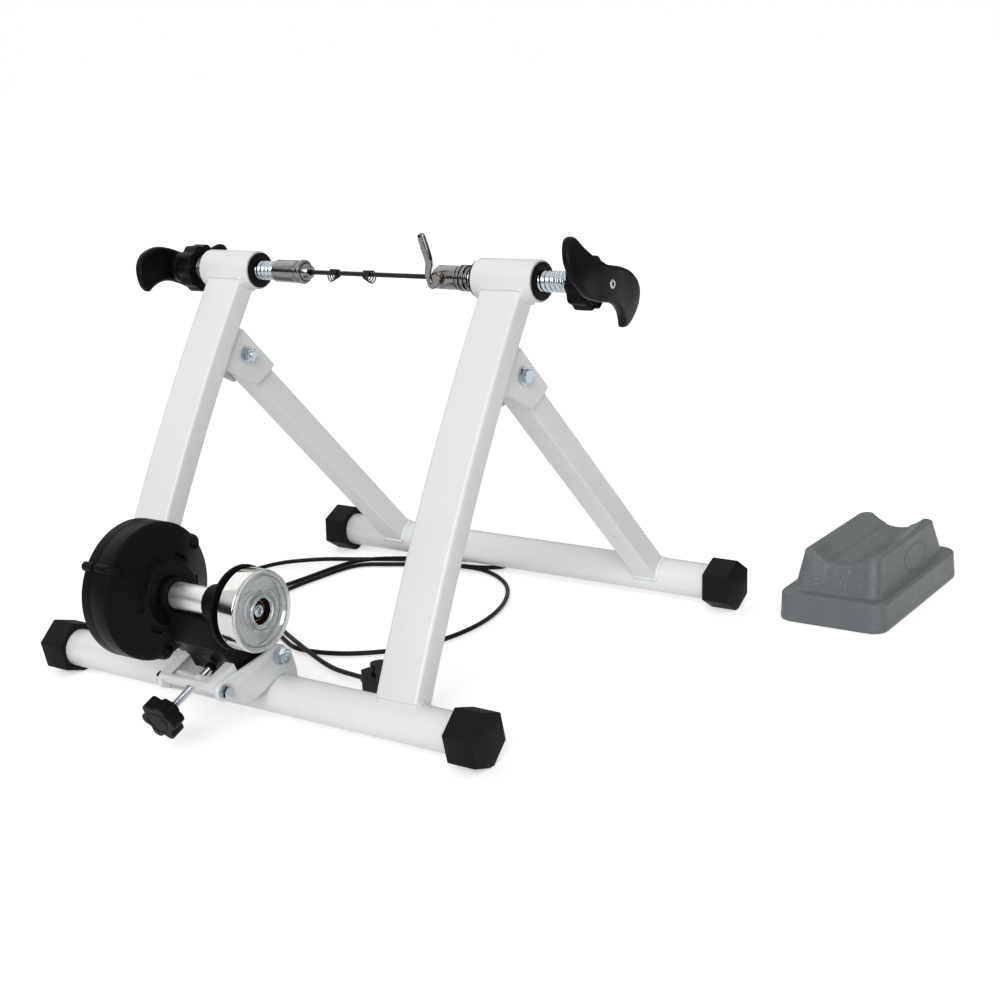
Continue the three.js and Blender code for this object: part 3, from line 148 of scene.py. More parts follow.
def makeFinish(name, s):
    # Colour drifts between two close tones, roughness between two values, and up to three bumps are added:
    # a fine grain, a slow wave, and turned lines across an axis. With "above", the grain fades under that
    # height in metres.
    made = bpy.data.materials.new(name)
    made.use_nodes = True
    tree = made.node_tree
    tree.nodes.clear()
    source = (addNode(tree, "ShaderNodeTexCoord"), "Object")
    drift = addNode(tree, "ShaderNodeTexNoise", {
        "Vector": source, "Scale": 1000 / s["driftSize"], "Detail": 4.0, "Roughness": 0.6,
    })
    tone = addNode(tree, "ShaderNodeMix", {
        "Factor": (drift, "Fac"), 6: linear(s["colour"]), 7: linear(s["shade"]),
    }, data_type="RGBA")
    colour = (tone, 2)
    grain = addNode(tree, "ShaderNodeTexNoise", {
        "Vector": source, "Scale": 1000 / s["grainSize"], "Detail": 3.0, "Roughness": 0.55,
    })
    strength = 1.0
    if "above" in s:
        parts = addNode(tree, "ShaderNodeSeparateXYZ", {0: source})
        above = addNode(tree, "ShaderNodeMapRange", {
            "Value": (parts, "Z"), "From Min": s["above"] - 0.001, "From Max": s["above"], "To Min": 0.06,
        })
        strength = (above, "Result")
    # paler colour on the grain's raised points, faded under "above" like the grain: painted highlights on the
    # stipple's tips
    if "paintedGlint" in s:
        glintMask = addNode(tree, "ShaderNodeMapRange", {
            "Value": (grain, "Fac"), "From Min": s["paintedGlintFrom"], "From Max": s["paintedGlintFrom"] + 0.1,
            "To Min": 0.0, "To Max": s["paintedGlintShare"],
        })
        glintMask = addNode(tree, "ShaderNodeMath", {0: (glintMask, 0), 1: strength}, operation="MULTIPLY")
        glinted = addNode(tree, "ShaderNodeMix", {
            "Factor": (glintMask, 0), 6: colour, 7: linear(s["paintedGlint"]),
        }, data_type="RGBA")
        colour = (glinted, 2)
    rough = addNode(tree, "ShaderNodeMapRange", {
        "Value": (drift, "Fac"), "From Min": 0.3, "From Max": 0.7,
        "To Min": s["rough"][0], "To Max": s["rough"][1],
    })
    bump = addNode(tree, "ShaderNodeBump", {
        "Height": (grain, "Fac"), "Strength": strength, "Distance": s["grainDepth"] / 1000,
    })
    if "waveSize" in s:
        wave = addNode(tree, "ShaderNodeTexNoise", {
            "Vector": source, "Scale": 1000 / s["waveSize"], "Detail": 1.0,
        })
        bump = addNode(tree, "ShaderNodeBump", {
            "Height": (wave, "Fac"), "Strength": 1.0, "Distance": s["waveDepth"] / 1000,
            "Normal": (bump, "Normal"),
        })
    if "lineSize" in s:
        lines = addNode(tree, "ShaderNodeTexWave", {
            "Vector": source, "Scale": 1000 / s["lineSize"] / 20, "Distortion": 1.5, "Detail": 3.0,
            "Detail Scale": 2.0,
        }, bands_direction=s["lineAxis"])
        bump = addNode(tree, "ShaderNodeBump", {
            "Height": (lines, "Fac"), "Strength": 1.0, "Distance": s["lineDepth"] / 1000,
            "Normal": (bump, "Normal"),
        })
    shader = addNode(tree, "ShaderNodeBsdfPrincipled", {
        "Base Color": colour, "Roughness": (rough, "Result"), "Normal": (bump, "Normal"),
        "Metallic": s.get("metal", 0.0),
    })
    for name, value in s.get("sockets", {}).items():
        shader.inputs[name].default_value = value
    addNode(tree, "ShaderNodeOutputMaterial", {"Surface": (shader, "BSDF")})
    return made


finishes = {
    # polyester powder coat on steel tube: an even off-white with a soft gloss and a faint orange peel
    "powderCoat": makeFinish("powder_coat_on_steel", {
        "colour": "#E6E8E5", "shade": "#DDE0DD", "driftSize": 90, "rough": (0.3, 0.4),
        "grainSize": 0.9, "grainDepth": 0.006, "waveSize": 3.5, "waveDepth": 0.03,
        "sockets": {"IOR": 1.5},
    }),
    # moulded rubber end caps: matt black with a dusty bloom and a coarse eroded grain
    "rubber": makeFinish("moulded_rubber", {
        "colour": "#0F1011", "shade": "#161717", "driftSize": 14, "rough": (0.6, 0.78),
        "grainSize": 0.8, "grainDepth": 0.05, "waveSize": 6, "waveDepth": 0.05,
        "sockets": {"IOR": 1.45, "Specular IOR Level": 0.14},
    }),
    # glass filled nylon, moulded against a fine spark eroded face: dark, even, dull sheen
    "nylon": makeFinish("moulded_nylon", {
        "colour": "#0B0C0C", "shade": "#111212", "driftSize": 22, "rough": (0.36, 0.48),
        "grainSize": 0.6, "grainDepth": 0.025, "waveSize": 9, "waveDepth": 0.06,
        "sockets": {"IOR": 1.45, "Specular IOR Level": 0.08},
    }),
    # ABS handles, moulded against a satin face: deep black with soft wide highlights
    "abs": makeFinish("moulded_abs", {
        "colour": "#0C0C0D", "shade": "#121213", "driftSize": 30, "rough": (0.34, 0.44),
        "grainSize": 0.7, "grainDepth": 0.012, "waveSize": 16, "waveDepth": 0.12,
        "sockets": {"IOR": 1.46, "Specular IOR Level": 0.09},
    }),
    # zinc plated steel with a clear blue passivate: bright, slightly bluish, softly mottled
    "zinc": makeFinish("blue_zinc_plate", {
        "colour": "#C6CFD5", "shade": "#9EACB6", "driftSize": 3, "rough": (0.12, 0.26), "metal": 1.0,
        "grainSize": 0.5, "grainDepth": 0.006,
    }),
    # drawn steel with a thin oil film: nickel grey, fine lines from the lathe
    "turnedSteel": makeFinish("turned_nickel_steel", {
        "colour": "#8F8D8B", "shade": "#6E6C6B", "driftSize": 6, "rough": (0.12, 0.22), "metal": 1.0,
        "grainSize": 0.4, "grainDepth": 0.004, "lineSize": 0.9, "lineAxis": "X", "lineDepth": 0.01,
    }),
    # black oxidised spring and rod steel: dark, oily, with a low sheen
    "blackSteel": makeFinish("black_oxide_steel", {
        "colour": "#3A3B3D", "shade": "#2A2B2D", "driftSize": 5, "rough": (0.3, 0.45), "metal": 1.0,
        "grainSize": 0.4, "grainDepth": 0.006,
    }),
    # decorative chrome on steel: sharp reflections, barely hazed
    "chrome": makeFinish("bright_chrome", {
        "colour": "#D3D2CF", "shade": "#C4C3C0", "driftSize": 12, "rough": (0.07, 0.13), "metal": 1.0,
        "grainSize": 0.6, "grainDepth": 0.002, "waveSize": 8, "waveDepth": 0.01,
    }),
    # cast lever, chromed over a rough casting: bright but rippled
    "castChrome": makeFinish("chromed_casting", {
        "colour": "#8E8B88", "shade": "#6D6A68", "driftSize": 4, "rough": (0.1, 0.22), "metal": 1.0,
        "grainSize": 1.1, "grainDepth": 0.012, "waveSize": 7, "waveDepth": 0.1,
    }),
    # aluminium roller, turned: pale, with fine rings round its axis that spread the highlights
    "aluminium": makeFinish("turned_aluminium", {
        "colour": "#E6E6E5", "shade": "#D2D3D3", "driftSize": 4, "rough": (0.34, 0.48), "metal": 1.0,
        "grainSize": 0.5, "grainDepth": 0.008, "lineSize": 0.7, "lineAxis": "X", "lineDepth": 0.02,
    }),
    # structural foam block: mid grey polypropylene, leathery stipple, and paler spots on the stipple's raised
    # points that are painted highlights
    "greyMoulding": makeFinish("stippled_polypropylene", {
        "colour": "#6A7172", "shade": "#616768", "driftSize": 35, "rough": (0.34, 0.46),
        "grainSize": 2.2, "grainDepth": 0.45, "above": 0.0315,
        # the paler colour, and where and how much of it is painted as highlights on the stipple's tips
        "paintedGlint": "#9A9D9B", "paintedGlintFrom": 0.6, "paintedGlintShare": 0.55,
        "sockets": {"IOR": 1.49, "Specular IOR Level": 0.25},
    }),
    # PVC outer of the control cable: satin black
    "pvc": makeFinish("extruded_pvc", {
        "colour": "#0C0D0D", "shade": "#121313", "driftSize": 18, "rough": (0.34, 0.46),
        "grainSize": 1.0, "grainDepth": 0.01, "sockets": {"IOR": 1.5, "Specular IOR Level": 0.12},
    }),
    # copper plated washer behind the axle screw: warm, tarnished towards brown
    "copper": makeFinish("tarnished_copper", {
        "colour": "#C07A45", "shade": "#6E4023", "driftSize": 2, "rough": (0.25, 0.45), "metal": 1.0,
        "grainSize": 0.4, "grainDepth": 0.006,
    }),
    # clear polycarbonate cap: milky and silvery over the chrome, smooth with slight moulding waves
    "clearCap": makeFinish("clear_polycarbonate", {
        "colour": "#EEF1F2", "shade": "#DDE2E4", "driftSize": 8, "rough": (0.03, 0.08),
        "grainSize": 3.0, "grainDepth": 0.001, "waveSize": 12, "waveDepth": 0.02,
        "sockets": {"IOR": 1.4, "Transmission Weight": 0.9},
    }),
}
print("finishes made:", len(finishes))

# Mesh making. A grid is an array of u by v points; a closed direction joins its last row to its first.


def gridFaces(rows, columns, closeRows, closeColumns, start):
    # corner numbers of each cell: (i, j), (i, j+1), (i+1, j+1), (i+1, j), wrapped where that way is closed
    i, j = np.meshgrid(
        np.arange(rows if closeRows else rows - 1),
        np.arange(columns if closeColumns else columns - 1), indexing="ij",
    )
    i, j = i.ravel(), j.ravel()
    row, nextRow = i * columns, (i + 1) % rows * columns
    nextJ = (j + 1) % columns
    return start + np.stack([row + j, row + nextJ, nextRow + nextJ, nextRow + j], 1)


def makePiece(name, grids, place, finish, body, replaces=(), smoothTo=38):
    # each grid is (points, closeRows, closeColumns, capEnds); equal points are merged, faces turned outwards
    points, faces, caps, start = [], [], [], 0
    for grid, closeRows, closeColumns, capEnds in grids:
        rows, columns = grid.shape[:2]
        points.append(grid.reshape(-1, 3))
        faces.append(gridFaces(rows, columns, closeRows, closeColumns, start))
        if capEnds:
            caps.append(list(range(start, start + columns)))
            caps.append(list(range(start + (rows - 1) * columns, start + rows * columns)))
        start += rows * columns
    mesh = bpy.data.meshes.new(name)
    allFaces = np.concatenate(faces).tolist() + caps
    mesh.from_pydata(toRow(np.concatenate(points), place).tolist(), [], allFaces)
    tidy = bmesh.new()
    tidy.from_mesh(mesh)
    bmesh.ops.remove_doubles(tidy, verts=tidy.verts, dist=1e-6)
    bmesh.ops.dissolve_degenerate(tidy, edges=tidy.edges, dist=1e-7)
    bmesh.ops.recalc_face_normals(tidy, faces=tidy.faces)
    tidy.to_mesh(mesh)
    tidy.free()
    mesh.polygons.foreach_set("use_smooth", np.ones(len(mesh.polygons), bool))
    mesh.set_sharp_from_angle(angle=math.radians(smoothTo))
    made = bpy.data.objects.new(name, mesh)
    bpy.context.scene.collection.objects.link(made)
    made.data.materials.append(finishes[finish])
    if body:
        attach(made, body)
    if replaces:
        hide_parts(*replaces)
    return made


def softCorners(corners, radius, steps=4, closed=True):
    # each corner becomes a parabola between points up to radius away on its two sides
    corners = np.asarray(corners, float)
    radius = np.broadcast_to(radius, len(corners)).astype(float)[:, None]
    before, after = np.roll(corners, 1, 0) - corners, np.roll(corners, -1, 0) - corners
    lengthBefore = np.maximum(np.linalg.norm(before, axis=1, keepdims=True), 1e-9)
    lengthAfter = np.maximum(np.linalg.norm(after, axis=1, keepdims=True), 1e-9)
    first = corners + before / lengthBefore * np.minimum(radius, 0.48 * lengthBefore)
    last = corners + after / lengthAfter * np.minimum(radius, 0.48 * lengthAfter)
    t = np.linspace(0, 1, steps + 1)[None, :, None]
    curve = (1 - t) ** 2 * first[:, None] + 2 * t * (1 - t) * corners[:, None] + t ** 2 * last[:, None]
    if not closed:
        curve[0], curve[-1] = corners[0], corners[-1]
    return curve.reshape(-1, corners.shape[1])


def turned(profile, sides=64, reach=None):
    # a profile of (x, radius) carried round the X axis; reach(angle, x, radius) may change the radius
    profile = np.asarray(profile, float)
    angle = np.linspace(0, 2 * np.pi, sides, endpoint=False)[:, None]
    x, radius = profile[None, :, 0], profile[None, :, 1]
    if reach is not None:
        radius = reach(angle, x, radius)
    x = np.broadcast_to(x, (sides, len(profile)))
    return np.stack([x, radius * np.cos(angle), radius * np.sin(angle)], -1)


def lathe(corners, radius=0.4, sides=64, closed=True, steps=3, reach=None):
    # a turned solid: closed profiles make rings, open ones run from the axis back to the axis
    profile = softCorners(corners, radius, steps, closed)
    return (turned(profile, sides, reach), True, closed, False)


def alongPath(path, radius, sides=12, flat=1.0):
    # a circle, or an ellipse of the share flat, carried along the path square to it, each ring turned so that
    # its first direction is square to one fixed guide
    path = np.asarray(path, float)
    tangent = np.gradient(path, axis=0)
    tangent /= np.maximum(np.linalg.norm(tangent, axis=1, keepdims=True), 1e-9)
    guide = np.array([0.31, 0.27, 0.91])
    normal = np.cross(tangent, guide)
    normal /= np.linalg.norm(normal, axis=1, keepdims=True)
    other = np.cross(tangent, normal)
    angle = np.linspace(0, 2 * np.pi, sides, endpoint=False)[None, :, None]
    radius = np.broadcast_to(radius, len(path))[:, None, None]
    ring = np.cos(angle) * normal[:, None] + flat * np.sin(angle) * other[:, None]
    return path[:, None] + radius * ring


def roundedBox(width, depth, corner, steps=5):
    # the outline of a rectangle with rounded corners, anticlockwise
    half = np.array([[1, 1], [-1, 1], [-1, -1], [1, -1]]) * np.array([width / 2, depth / 2])
    return softCorners(half, corner, steps)


# The cable: its route is part.mjs's, as a centripetal Catmull-Rom curve through the same points
cableRoute = [
    (-88.3, -6.6, 94.5), (-98, -6.6, 94.5), (-119, 4, 82), (-144, 42, 36), (-164, 68.5, 13),
    (-200, 98, 4.2), (-248, 205, 3), (-303, 312, 3), (-289, 349, 5.5), (-249, 378, 7.8),
    (-212, 408, 4.4), (-158, 435, 3.2), (-58, 476.5, 3), (-39, 474.5, 3), (-34, 462, 3),
    (-50, 450.5, 3), (-104, 438, 3), (-160, 414, 3), (-197, 393, 3), (-211, 337, 3),
    (-214, 267, 3), (-199, 223, 3), (-110, 160, 3), (-71, 143, 3), (-15, 156, 3),
    (36, 203, 3), (55.5, 273, 3), (44, 347, 3), (6, 409, 3), (-45, 438.5, 3.8),
    (-85, 433, 6.8), (-126, 431, 8.7), (-165, 418, 8.7), (-203, 400, 5.6), (-223, 327, 3.4),
    (-226, 236, 3.9), (-168, 196.5, 8.7), (-60, 137, 8.5), (-4, 115, 4.4), (51.7, 98.1, 9),
]
cable = {"radius": 2.5, "length": 2.335, "sides": 14, "stepsEach": 14}


def smoothRoute(route, steps):
    # cubic pieces whose end slopes weigh the neighbours by the square root of their distances
    p = np.asarray(route, float)
    p = np.vstack([2 * p[0] - p[1], p, 2 * p[-1] - p[-2]])
    gap = np.sqrt(np.linalg.norm(np.diff(p, axis=0), axis=1))[:, None]
    g0, g1, g2 = gap[:-2], gap[1:-1], gap[2:]
    p0, p1, p2, p3 = p[:-3], p[1:-2], p[2:-1], p[3:]
    m1 = ((p1 - p0) / g0 - (p2 - p0) / (g0 + g1) + (p2 - p1) / g1) * g1
    m2 = ((p2 - p1) / g1 - (p3 - p1) / (g1 + g2) + (p3 - p2) / g2) * g1
    t = np.linspace(0, 1, steps, endpoint=False)[None, :, None]
    p1, p2, m1, m2 = (v[:, None] for v in (p1, p2, m1, m2))
    curve = ((2 * t ** 3 - 3 * t ** 2 + 1) * p1 + (t ** 3 - 2 * t ** 2 + t) * m1
             + (-2 * t ** 3 + 3 * t ** 2) * p2 + (t ** 3 - t ** 2) * m2)
    return np.vstack([curve.reshape(-1, 3), p[-2]])


cableLine = smoothRoute(cableRoute, cable["stepsEach"])
cablePiece = makePiece(
    "control_cable", [(alongPath(cableLine, cable["radius"], cable["sides"]), False, True, True)],
    wholeFrame, "pvc", None, smoothTo=60,
)
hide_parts("cable")
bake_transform(cablePiece)
print("cable laid")

# Steel tube frame
tube = {"radius": 19.0, "inside": 17.8}
barrel = {"radius": 19.9, "inside": 18.6}
upright = {"width": 46.7, "depth": 24.3, "wall": 1.8, "corner": 4.2, "bow": 9.9, "steps": 28}
leg = {"width": 28.0, "depth": 27.0, "wall": 1.5, "corner": 3.2, "end": 14.0, "steps": 12, "weldAt": 19.3}
weld = {"radius": 2.0, "ripple": 3.2, "share": 0.14, "stand": 1.0, "sides": 8}


def uprightLine(t):
    # a parabola from the near tube to the barrel that bows to the roller's side, with its slope
    start, end = np.array(nearAxis), np.array(axleAt)
    along = (end - start) / np.linalg.norm(end - start)
    back = np.array([along[1], -along[0]])
    middle = (start + end) / 2 - 2 * upright["bow"] * back
    t = np.asarray(t)[..., None]
    point = (1 - t) ** 2 * start + 2 * t * (1 - t) * middle + t ** 2 * end
    slope = 2 * (1 - t) * (middle - start) + 2 * t * (end - middle)
    return point, slope / np.linalg.norm(slope, axis=-1, keepdims=True)


def uprightPoints(x, b, t):
    # x across, b behind the middle line, t along it
    point, slope = uprightLine(t)
    y = point[..., 0] + b * slope[..., 1]
    z = point[..., 1] - b * slope[..., 0]
    return np.stack([np.broadcast_to(x, y.shape), y, z], -1)


def uprightWall(section, low, high):
    # the section carried from the near tube's wall to the barrel's wall, cut to both cylinders
    x, b = section[None, :, 0], section[None, :, 1]
    run = math.dist(nearAxis, axleAt)
    first = np.sqrt(low ** 2 - b ** 2) / run
    last = 1 - np.sqrt(high ** 2 - b ** 2) / run
    share = np.linspace(0, 1, upright["steps"])[:, None]
    return uprightPoints(x, b, first + (last - first) * share)


def tubeLoop(outer, inner):
    # the outer wall's rows and then the inner wall's the other way round, closed both ways
    return (np.concatenate([outer, inner[::-1]]), True, True, False)


def insetBox(s, by):
    # a tube's outline moved inwards by a wall, with its corners tighter by half of that
    return roundedBox(s["width"] - 2 * by, s["depth"] - 2 * by, s["corner"] - by / 2)


def legWall(section):
    # straight down the leg's own Y axis, cut to the far tube's cylinder
    x, z = section[None, :, 0], section[None, :, 1]
    last = legLength - np.sqrt(tube["inside"] ** 2 - z ** 2)
    share = np.linspace(0, 1, leg["steps"])[:, None]
    y = -leg["end"] + (last + leg["end"]) * share
    return np.stack([np.broadcast_to(x, y.shape), y, np.broadcast_to(z, y.shape)], -1)


def bead(path):
    # a weld: a tube along a closed path whose radius ripples with the torch's steps
    step = np.linalg.norm(np.diff(path, axis=0, append=path[:1]), axis=1)
    run = np.cumsum(step)
    radius = weld["radius"] * (1 + weld["share"] * np.sin(2 * np.pi * run / weld["ripple"]))
    closed = np.vstack([path, path[:1]])
    return (alongPath(closed, np.append(radius, radius[0]), weld["sides"]), False, True, True)


def denseSection(s, count):
    # a tube's outline, half the weld's stand further out, with more points between its own
    section = roundedBox(s["width"] + weld["stand"], s["depth"] + weld["stand"], s["corner"], 10)
    at = np.linspace(0, len(section), count)
    return np.stack([np.interp(at, np.arange(len(section) + 1), np.append(section[:, k], section[0, k]))
                     for k in (0, 1)], 1)[:-1]


def uprightBead(radius, atTop):
    # where the upright's outline meets the cylinder of that radius
    x, b = denseSection(upright, 260).T
    reach = np.sqrt(np.maximum(radius ** 2 - b ** 2, 1)) / math.dist(nearAxis, axleAt)
    return bead(uprightPoints(x, b, 1 - reach if atTop else reach))


def legBead():
    # where the leg's outline meets the far base tube
    x, z = denseSection(leg, 180).T
    return bead(np.stack([x, legLength - np.sqrt(leg["weldAt"] ** 2 - z ** 2), z], 1))


for side, word in ((-1, "left"), (1, "right")):
    place = frameAt(side * uprightX, 0, 0)
    walls = [uprightWall(insetBox(upright, by), tube["inside"], barrel["inside"])
             for by in (0, upright["wall"])]
    makePiece("upright_tube_" + word, [tubeLoop(*walls)], place, "powderCoat", "frame",
              ["upright_" + word])
    makePiece(
        "leg_tube_" + word, [tubeLoop(legWall(insetBox(leg, 0)), legWall(insetBox(leg, leg["wall"])))],
        legFrames[side], "powderCoat", "leg_frame", ["leg_" + word],
    )
    makePiece("weld_barrel_" + word, [uprightBead(barrel["radius"], True)], place, "powderCoat", "frame",
              smoothTo=80)
    makePiece("weld_near_tube_" + word, [uprightBead(tube["radius"], False)], place, "powderCoat", "frame",
              smoothTo=80)
    makePiece("weld_far_tube_" + word, [legBead()], legFrames[side], "powderCoat", "leg_frame",
              smoothTo=80)
print("tube frame made")

# Bolts and screws
bolt = {
    "shank": 4.0, "core": 3.9, "pitch": 1.25, "depth": 0.45, "corner": 7.5, "washer": 8.5, "washerThick": 1.6,
    "head": 5.3, "nut": 6.5, "tip": 2.5,
}
earBolt = {"inside": 28.6, "corner": 6.2, "washer": 7.2, "head": 4.6}
hinge = {"gap": 1.2, "wall": 3.0, "under": 0.3}
earFace = 37.8


def hexHead(x0, x1, corner):
    # a hexagon whose corners are turned off by a shallow cone at its outer end, domed a little
    flat = corner * math.cos(math.pi / 6)
    way = 1 if x1 > x0 else -1
    angle = np.linspace(0, 2 * np.pi, 72, endpoint=False)[:, None]
    hexagon = flat / np.cos((angle + np.pi / 6) % (np.pi / 3) - np.pi / 6)
    over = (hexagon - flat) * 0.58
    zero = np.zeros_like(angle)
    rows = [(x0 + zero, zero), (x0 + zero, hexagon), (x1 - way * (over + 0.25), hexagon),
            (x1 - way * 0.05 + zero, 0.97 * flat + zero), (x1 + zero, 0.9 * flat + zero), (x1 + zero, zero)]
    x = np.concatenate([r[0] for r in rows], 1)
    radius = np.concatenate([r[1] for r in rows], 1)
    return (np.stack([x, radius * np.cos(angle), radius * np.sin(angle)], -1), True, False, False)


def threaded(x0, x1, radius, pitch, depth, sides=40, perPitch=8):
    # a screw: the radius falls by depth in each turn, along a helix, and the two ends are chamfered
    count = max(int(abs(x1 - x0) / pitch * perPitch), 4)
    x = np.linspace(x0, x1, count)[None, :]
    angle = np.linspace(0, 2 * np.pi, sides, endpoint=False)[:, None]
    turn = (x / pitch - angle / (2 * np.pi)) % 1
    groove = np.clip(3.2 * np.abs(turn - 0.5) - 0.5, 0, 1)
    ends = np.clip(np.minimum(np.abs(x - x0), np.abs(x1 - x)) / (0.6 * depth + 0.4), 0, 1)
    radii = (radius - depth * groove) * (1 - 0.12 * (1 - ends))
    zero = np.zeros((sides, 1))
    x = np.concatenate([zero + x0, np.broadcast_to(x, radii.shape), zero + x1], 1)
    radii = np.concatenate([zero, radii, zero], 1)
    return (np.stack([x, radii * np.cos(angle), radii * np.sin(angle)], -1), True, False, False)


def washer(x0, x1, inner, outer):
    # a flat ring with broken edges
    return lathe([(x0, inner), (x0, outer), (x1, outer), (x1, inner)], 0.4, 48)


def boltThrough(face, side):
    # head at the far end of side, nut with the screw's tip at the other, a washer under each
    b = bolt
    headFace, nutFace = side * face, -side * face
    grids = []
    for at, way, height in ((headFace, side, b["head"]), (nutFace, -side, b["nut"])):
        under = at + way * b["washerThick"]
        grids.append(washer(*sorted((at, under)), b["shank"], b["washer"]))
        grids.append(hexHead(under, under + way * height, b["corner"]))
    tip = nutFace - side * (b["washerThick"] + b["nut"] + b["tip"])
    core = [(headFace, 0), (headFace, b["core"]), (nutFace, b["core"]), (nutFace, 0)]
    grids.append(lathe(core, 0.1, 24, False))
    grids.append(threaded(*sorted((nutFace, tip)), b["shank"], b["pitch"], b["depth"]))
    return grids


boltFace = leg["width"] / 2 + sum(hinge.values())
for side, word in ((-1, "left"), (1, "right")):
    makePiece("fold_bolt_" + word, boltThrough(boltFace, side), legFrames[side], "zinc", "frame",
              ["hinge_bolt_" + word], 30)
makePiece("unit_pivot_bolt", boltThrough(earFace, -1), pivotFrame, "zinc", "frame",
          ["pivot_bolt"], 30)
for side, word in ((-1, "left"), (1, "right")):
    under = side * (earFace + bolt["washerThick"])
    shank = sorted((side * earBolt["inside"], side * (earFace + 1)))
    grids = [
        washer(*sorted((side * earFace, under)), bolt["core"], earBolt["washer"]),
        hexHead(under, under + side * earBolt["head"], earBolt["corner"]),
        threaded(*shank, bolt["shank"], bolt["pitch"], bolt["depth"]),
    ]
    makePiece("ear_bolt_" + word, grids, trayFrame, "zinc", "frame", ["bracket_bolt_" + word], 30)
print("bolts made")

# Axle clamps
rod = {"radius": 9.9, "pitch": 5.2, "depth": 1.35, "pin": 5.5, "pinLength": 12}
clampBodies = {-1: ("left_clamp", "left_screw", "left_ring"), 1: ("right_clamp", "right_screw", "right_ring")}
rodEnds = {-1: (114.3, 260.7), 1: (129.8, 279.7)}
for side, word in ((-1, "left"), (1, "right")):
    near, far = rodEnds[side]
    pinEnds = (side * (near - rod["pinLength"]), side * (near + 1))
    pin = [(pinEnds[0], 0), (pinEnds[0], rod["pin"]), (pinEnds[1], rod["pin"]), (pinEnds[1], 0)]
    grids = [
        threaded(*sorted((side * near, side * far)), rod["radius"], rod["pitch"], rod["depth"], 56, 12),
        lathe(pin, 0.4, 32, False),
    ]
    makePiece("clamp_rod_" + word, grids, axleFrame, "zinc", clampBodies[side][1],
              [word + "_rod"], 45)

# cup outlines as X from the axle's middle and radius, from the open mouth to the rod's end and back inside
leftCup = [
    (77, 9.6), (77, 10.6), (78.6, 12.3), (81.6, 12.3), (82.2, 10.2), (85.2, 10.2), (85.8, 11.5),
    (114, 11.5), (114, 5.9), (101.4, 5.9), (101.4, 2.8), (89, 2.8), (89, 9.6),
]
rightCup = [
    (92, 10.3), (92, 11.5), (116, 11.5), (116.6, 9.9), (118.2, 9.9), (118.6, 12.6), (121, 12.6),
    (121.6, 10.2), (123.4, 10.2), (123.8, 12.6), (126.6, 12.6), (127.2, 10.4), (129.5, 10.4), (129.5, 5.9),
    (116.9, 5.9), (116.9, 2.8), (104, 2.8), (104, 10.3),
]
makePiece("axle_cup_left", [lathe([(-x, r) for x, r in leftCup], 0.35, 72)], axleFrame, "turnedSteel",
          "left_clamp", ["left_cup"])
makePiece("axle_cup_right", [lathe(rightCup, 0.35, 72)], axleFrame, "turnedSteel",
          "right_clamp", ["right_cup"])

# a wing's outline is an angle in degrees and a share of the tip's radius
handle = {
    "lean": 10.4, "thick": 9.0, "soft": 3.6, "proud": 1.3, "hub": 16.0, "hubLength": 18.0, "bore": 10.2,
    "twist": 0.22, "middle": -38.0, "screw": 4.6, "screwShank": 2.9, "socket": 3.3,
    "wing": [
        (60, 0.25), (29, 0.36), (8, 0.57), (-4, 0.72), (-14, 0.865), (-25, 0.965), (-36, 1.0), (-44, 0.99),
        (-49, 0.92), (-49, 0.77), (-50, 0.6), (-57, 0.4), (-80, 0.26),
    ],
}


def handleOutline(s):
    # two equal wings half a turn apart, as a smooth closed curve in Y and Z
    wing = np.array(s["wing"])
    angle = np.radians(np.concatenate([wing[:, 0], wing[:, 0] + 180]))
    radius = np.concatenate([wing[:, 1], wing[:, 1]]) * s["tip"]
    points = np.stack([radius * np.cos(angle), radius * np.sin(angle), 0 * angle], 1)
    looped = np.vstack([points[-3:], points, points[:3]])
    line = smoothRoute(looped, 8)
    return line[3 * 8:(3 + len(points)) * 8, :2]


def insetOutline(line, by):
    # each point moves inwards along the outline's normal
    slope = np.roll(line, -1, 0) - np.roll(line, 1, 0)
    normal = np.stack([-slope[:, 1], slope[:, 0]], 1) / np.linalg.norm(slope, axis=1, keepdims=True)
    turning = np.sum(line[:, 0] * np.roll(line[:, 1], -1) - line[:, 1] * np.roll(line[:, 0], -1))
    return line + normal * by * (1 if turning > 0 else -1)


def handleWings(s, inner):
    # rings from the middle of the back, round the edge and to the middle of the front; the wings lean inwards
    # as the square of their reach and twist with the angle from their middle line
    line = insetOutline(handleOutline(s), -s["proud"])
    back, front = inner + s["hubLength"] - s["thick"], inner + s["hubLength"]
    turn = np.linspace(0, np.pi / 2, 6)
    insets = np.concatenate([s["soft"] * (1 - np.sin(turn)), s["soft"] * (1 - np.cos(turn))])
    levels = np.concatenate([back + s["soft"] * (1 - np.cos(turn)), front - s["soft"] * (1 - np.sin(turn))])
    edge = [(insetOutline(line, by), x) for by, x in zip(insets, levels)]
    shares = np.linspace(0.001, 0.93, 9)
    flat = [(edge[0][0] * share, back) for share in shares]
    flat += edge + [(edge[-1][0] * share, front) for share in shares[::-1]]
    rings = []
    for ring, x in flat:
        reach = np.linalg.norm(ring, axis=1)
        angle = np.arctan2(ring[:, 1], ring[:, 0]) - math.radians(s["middle"])
        off = (angle + np.pi / 2) % np.pi - np.pi / 2
        fade = np.cos(np.clip(off / 1.2, -1, 1) * np.pi / 2)
        twist = s["twist"] * reach * off * fade * np.clip((reach - 22) / 25, 0, 1)
        rings.append(np.column_stack([x - s["lean"] * (reach / s["tip"]) ** 2 + twist, ring]))
    return (np.array(rings), False, True, True)


def handleHub(s, inner):
    # a round hub behind the wings that narrows to the screw's socket in its front
    outer = inner + s["hubLength"]
    front, floor = outer - 1.2, outer - 4.0
    return lathe([
        (inner, s["bore"]), (inner, s["hub"] - 0.5), (inner + 3, s["hub"]), (outer - 7, s["hub"] - 1),
        (front, s["hub"] / 2), (front, s["socket"]), (floor, s["socket"]), (floor, s["bore"]),
    ], 1.0, 64)


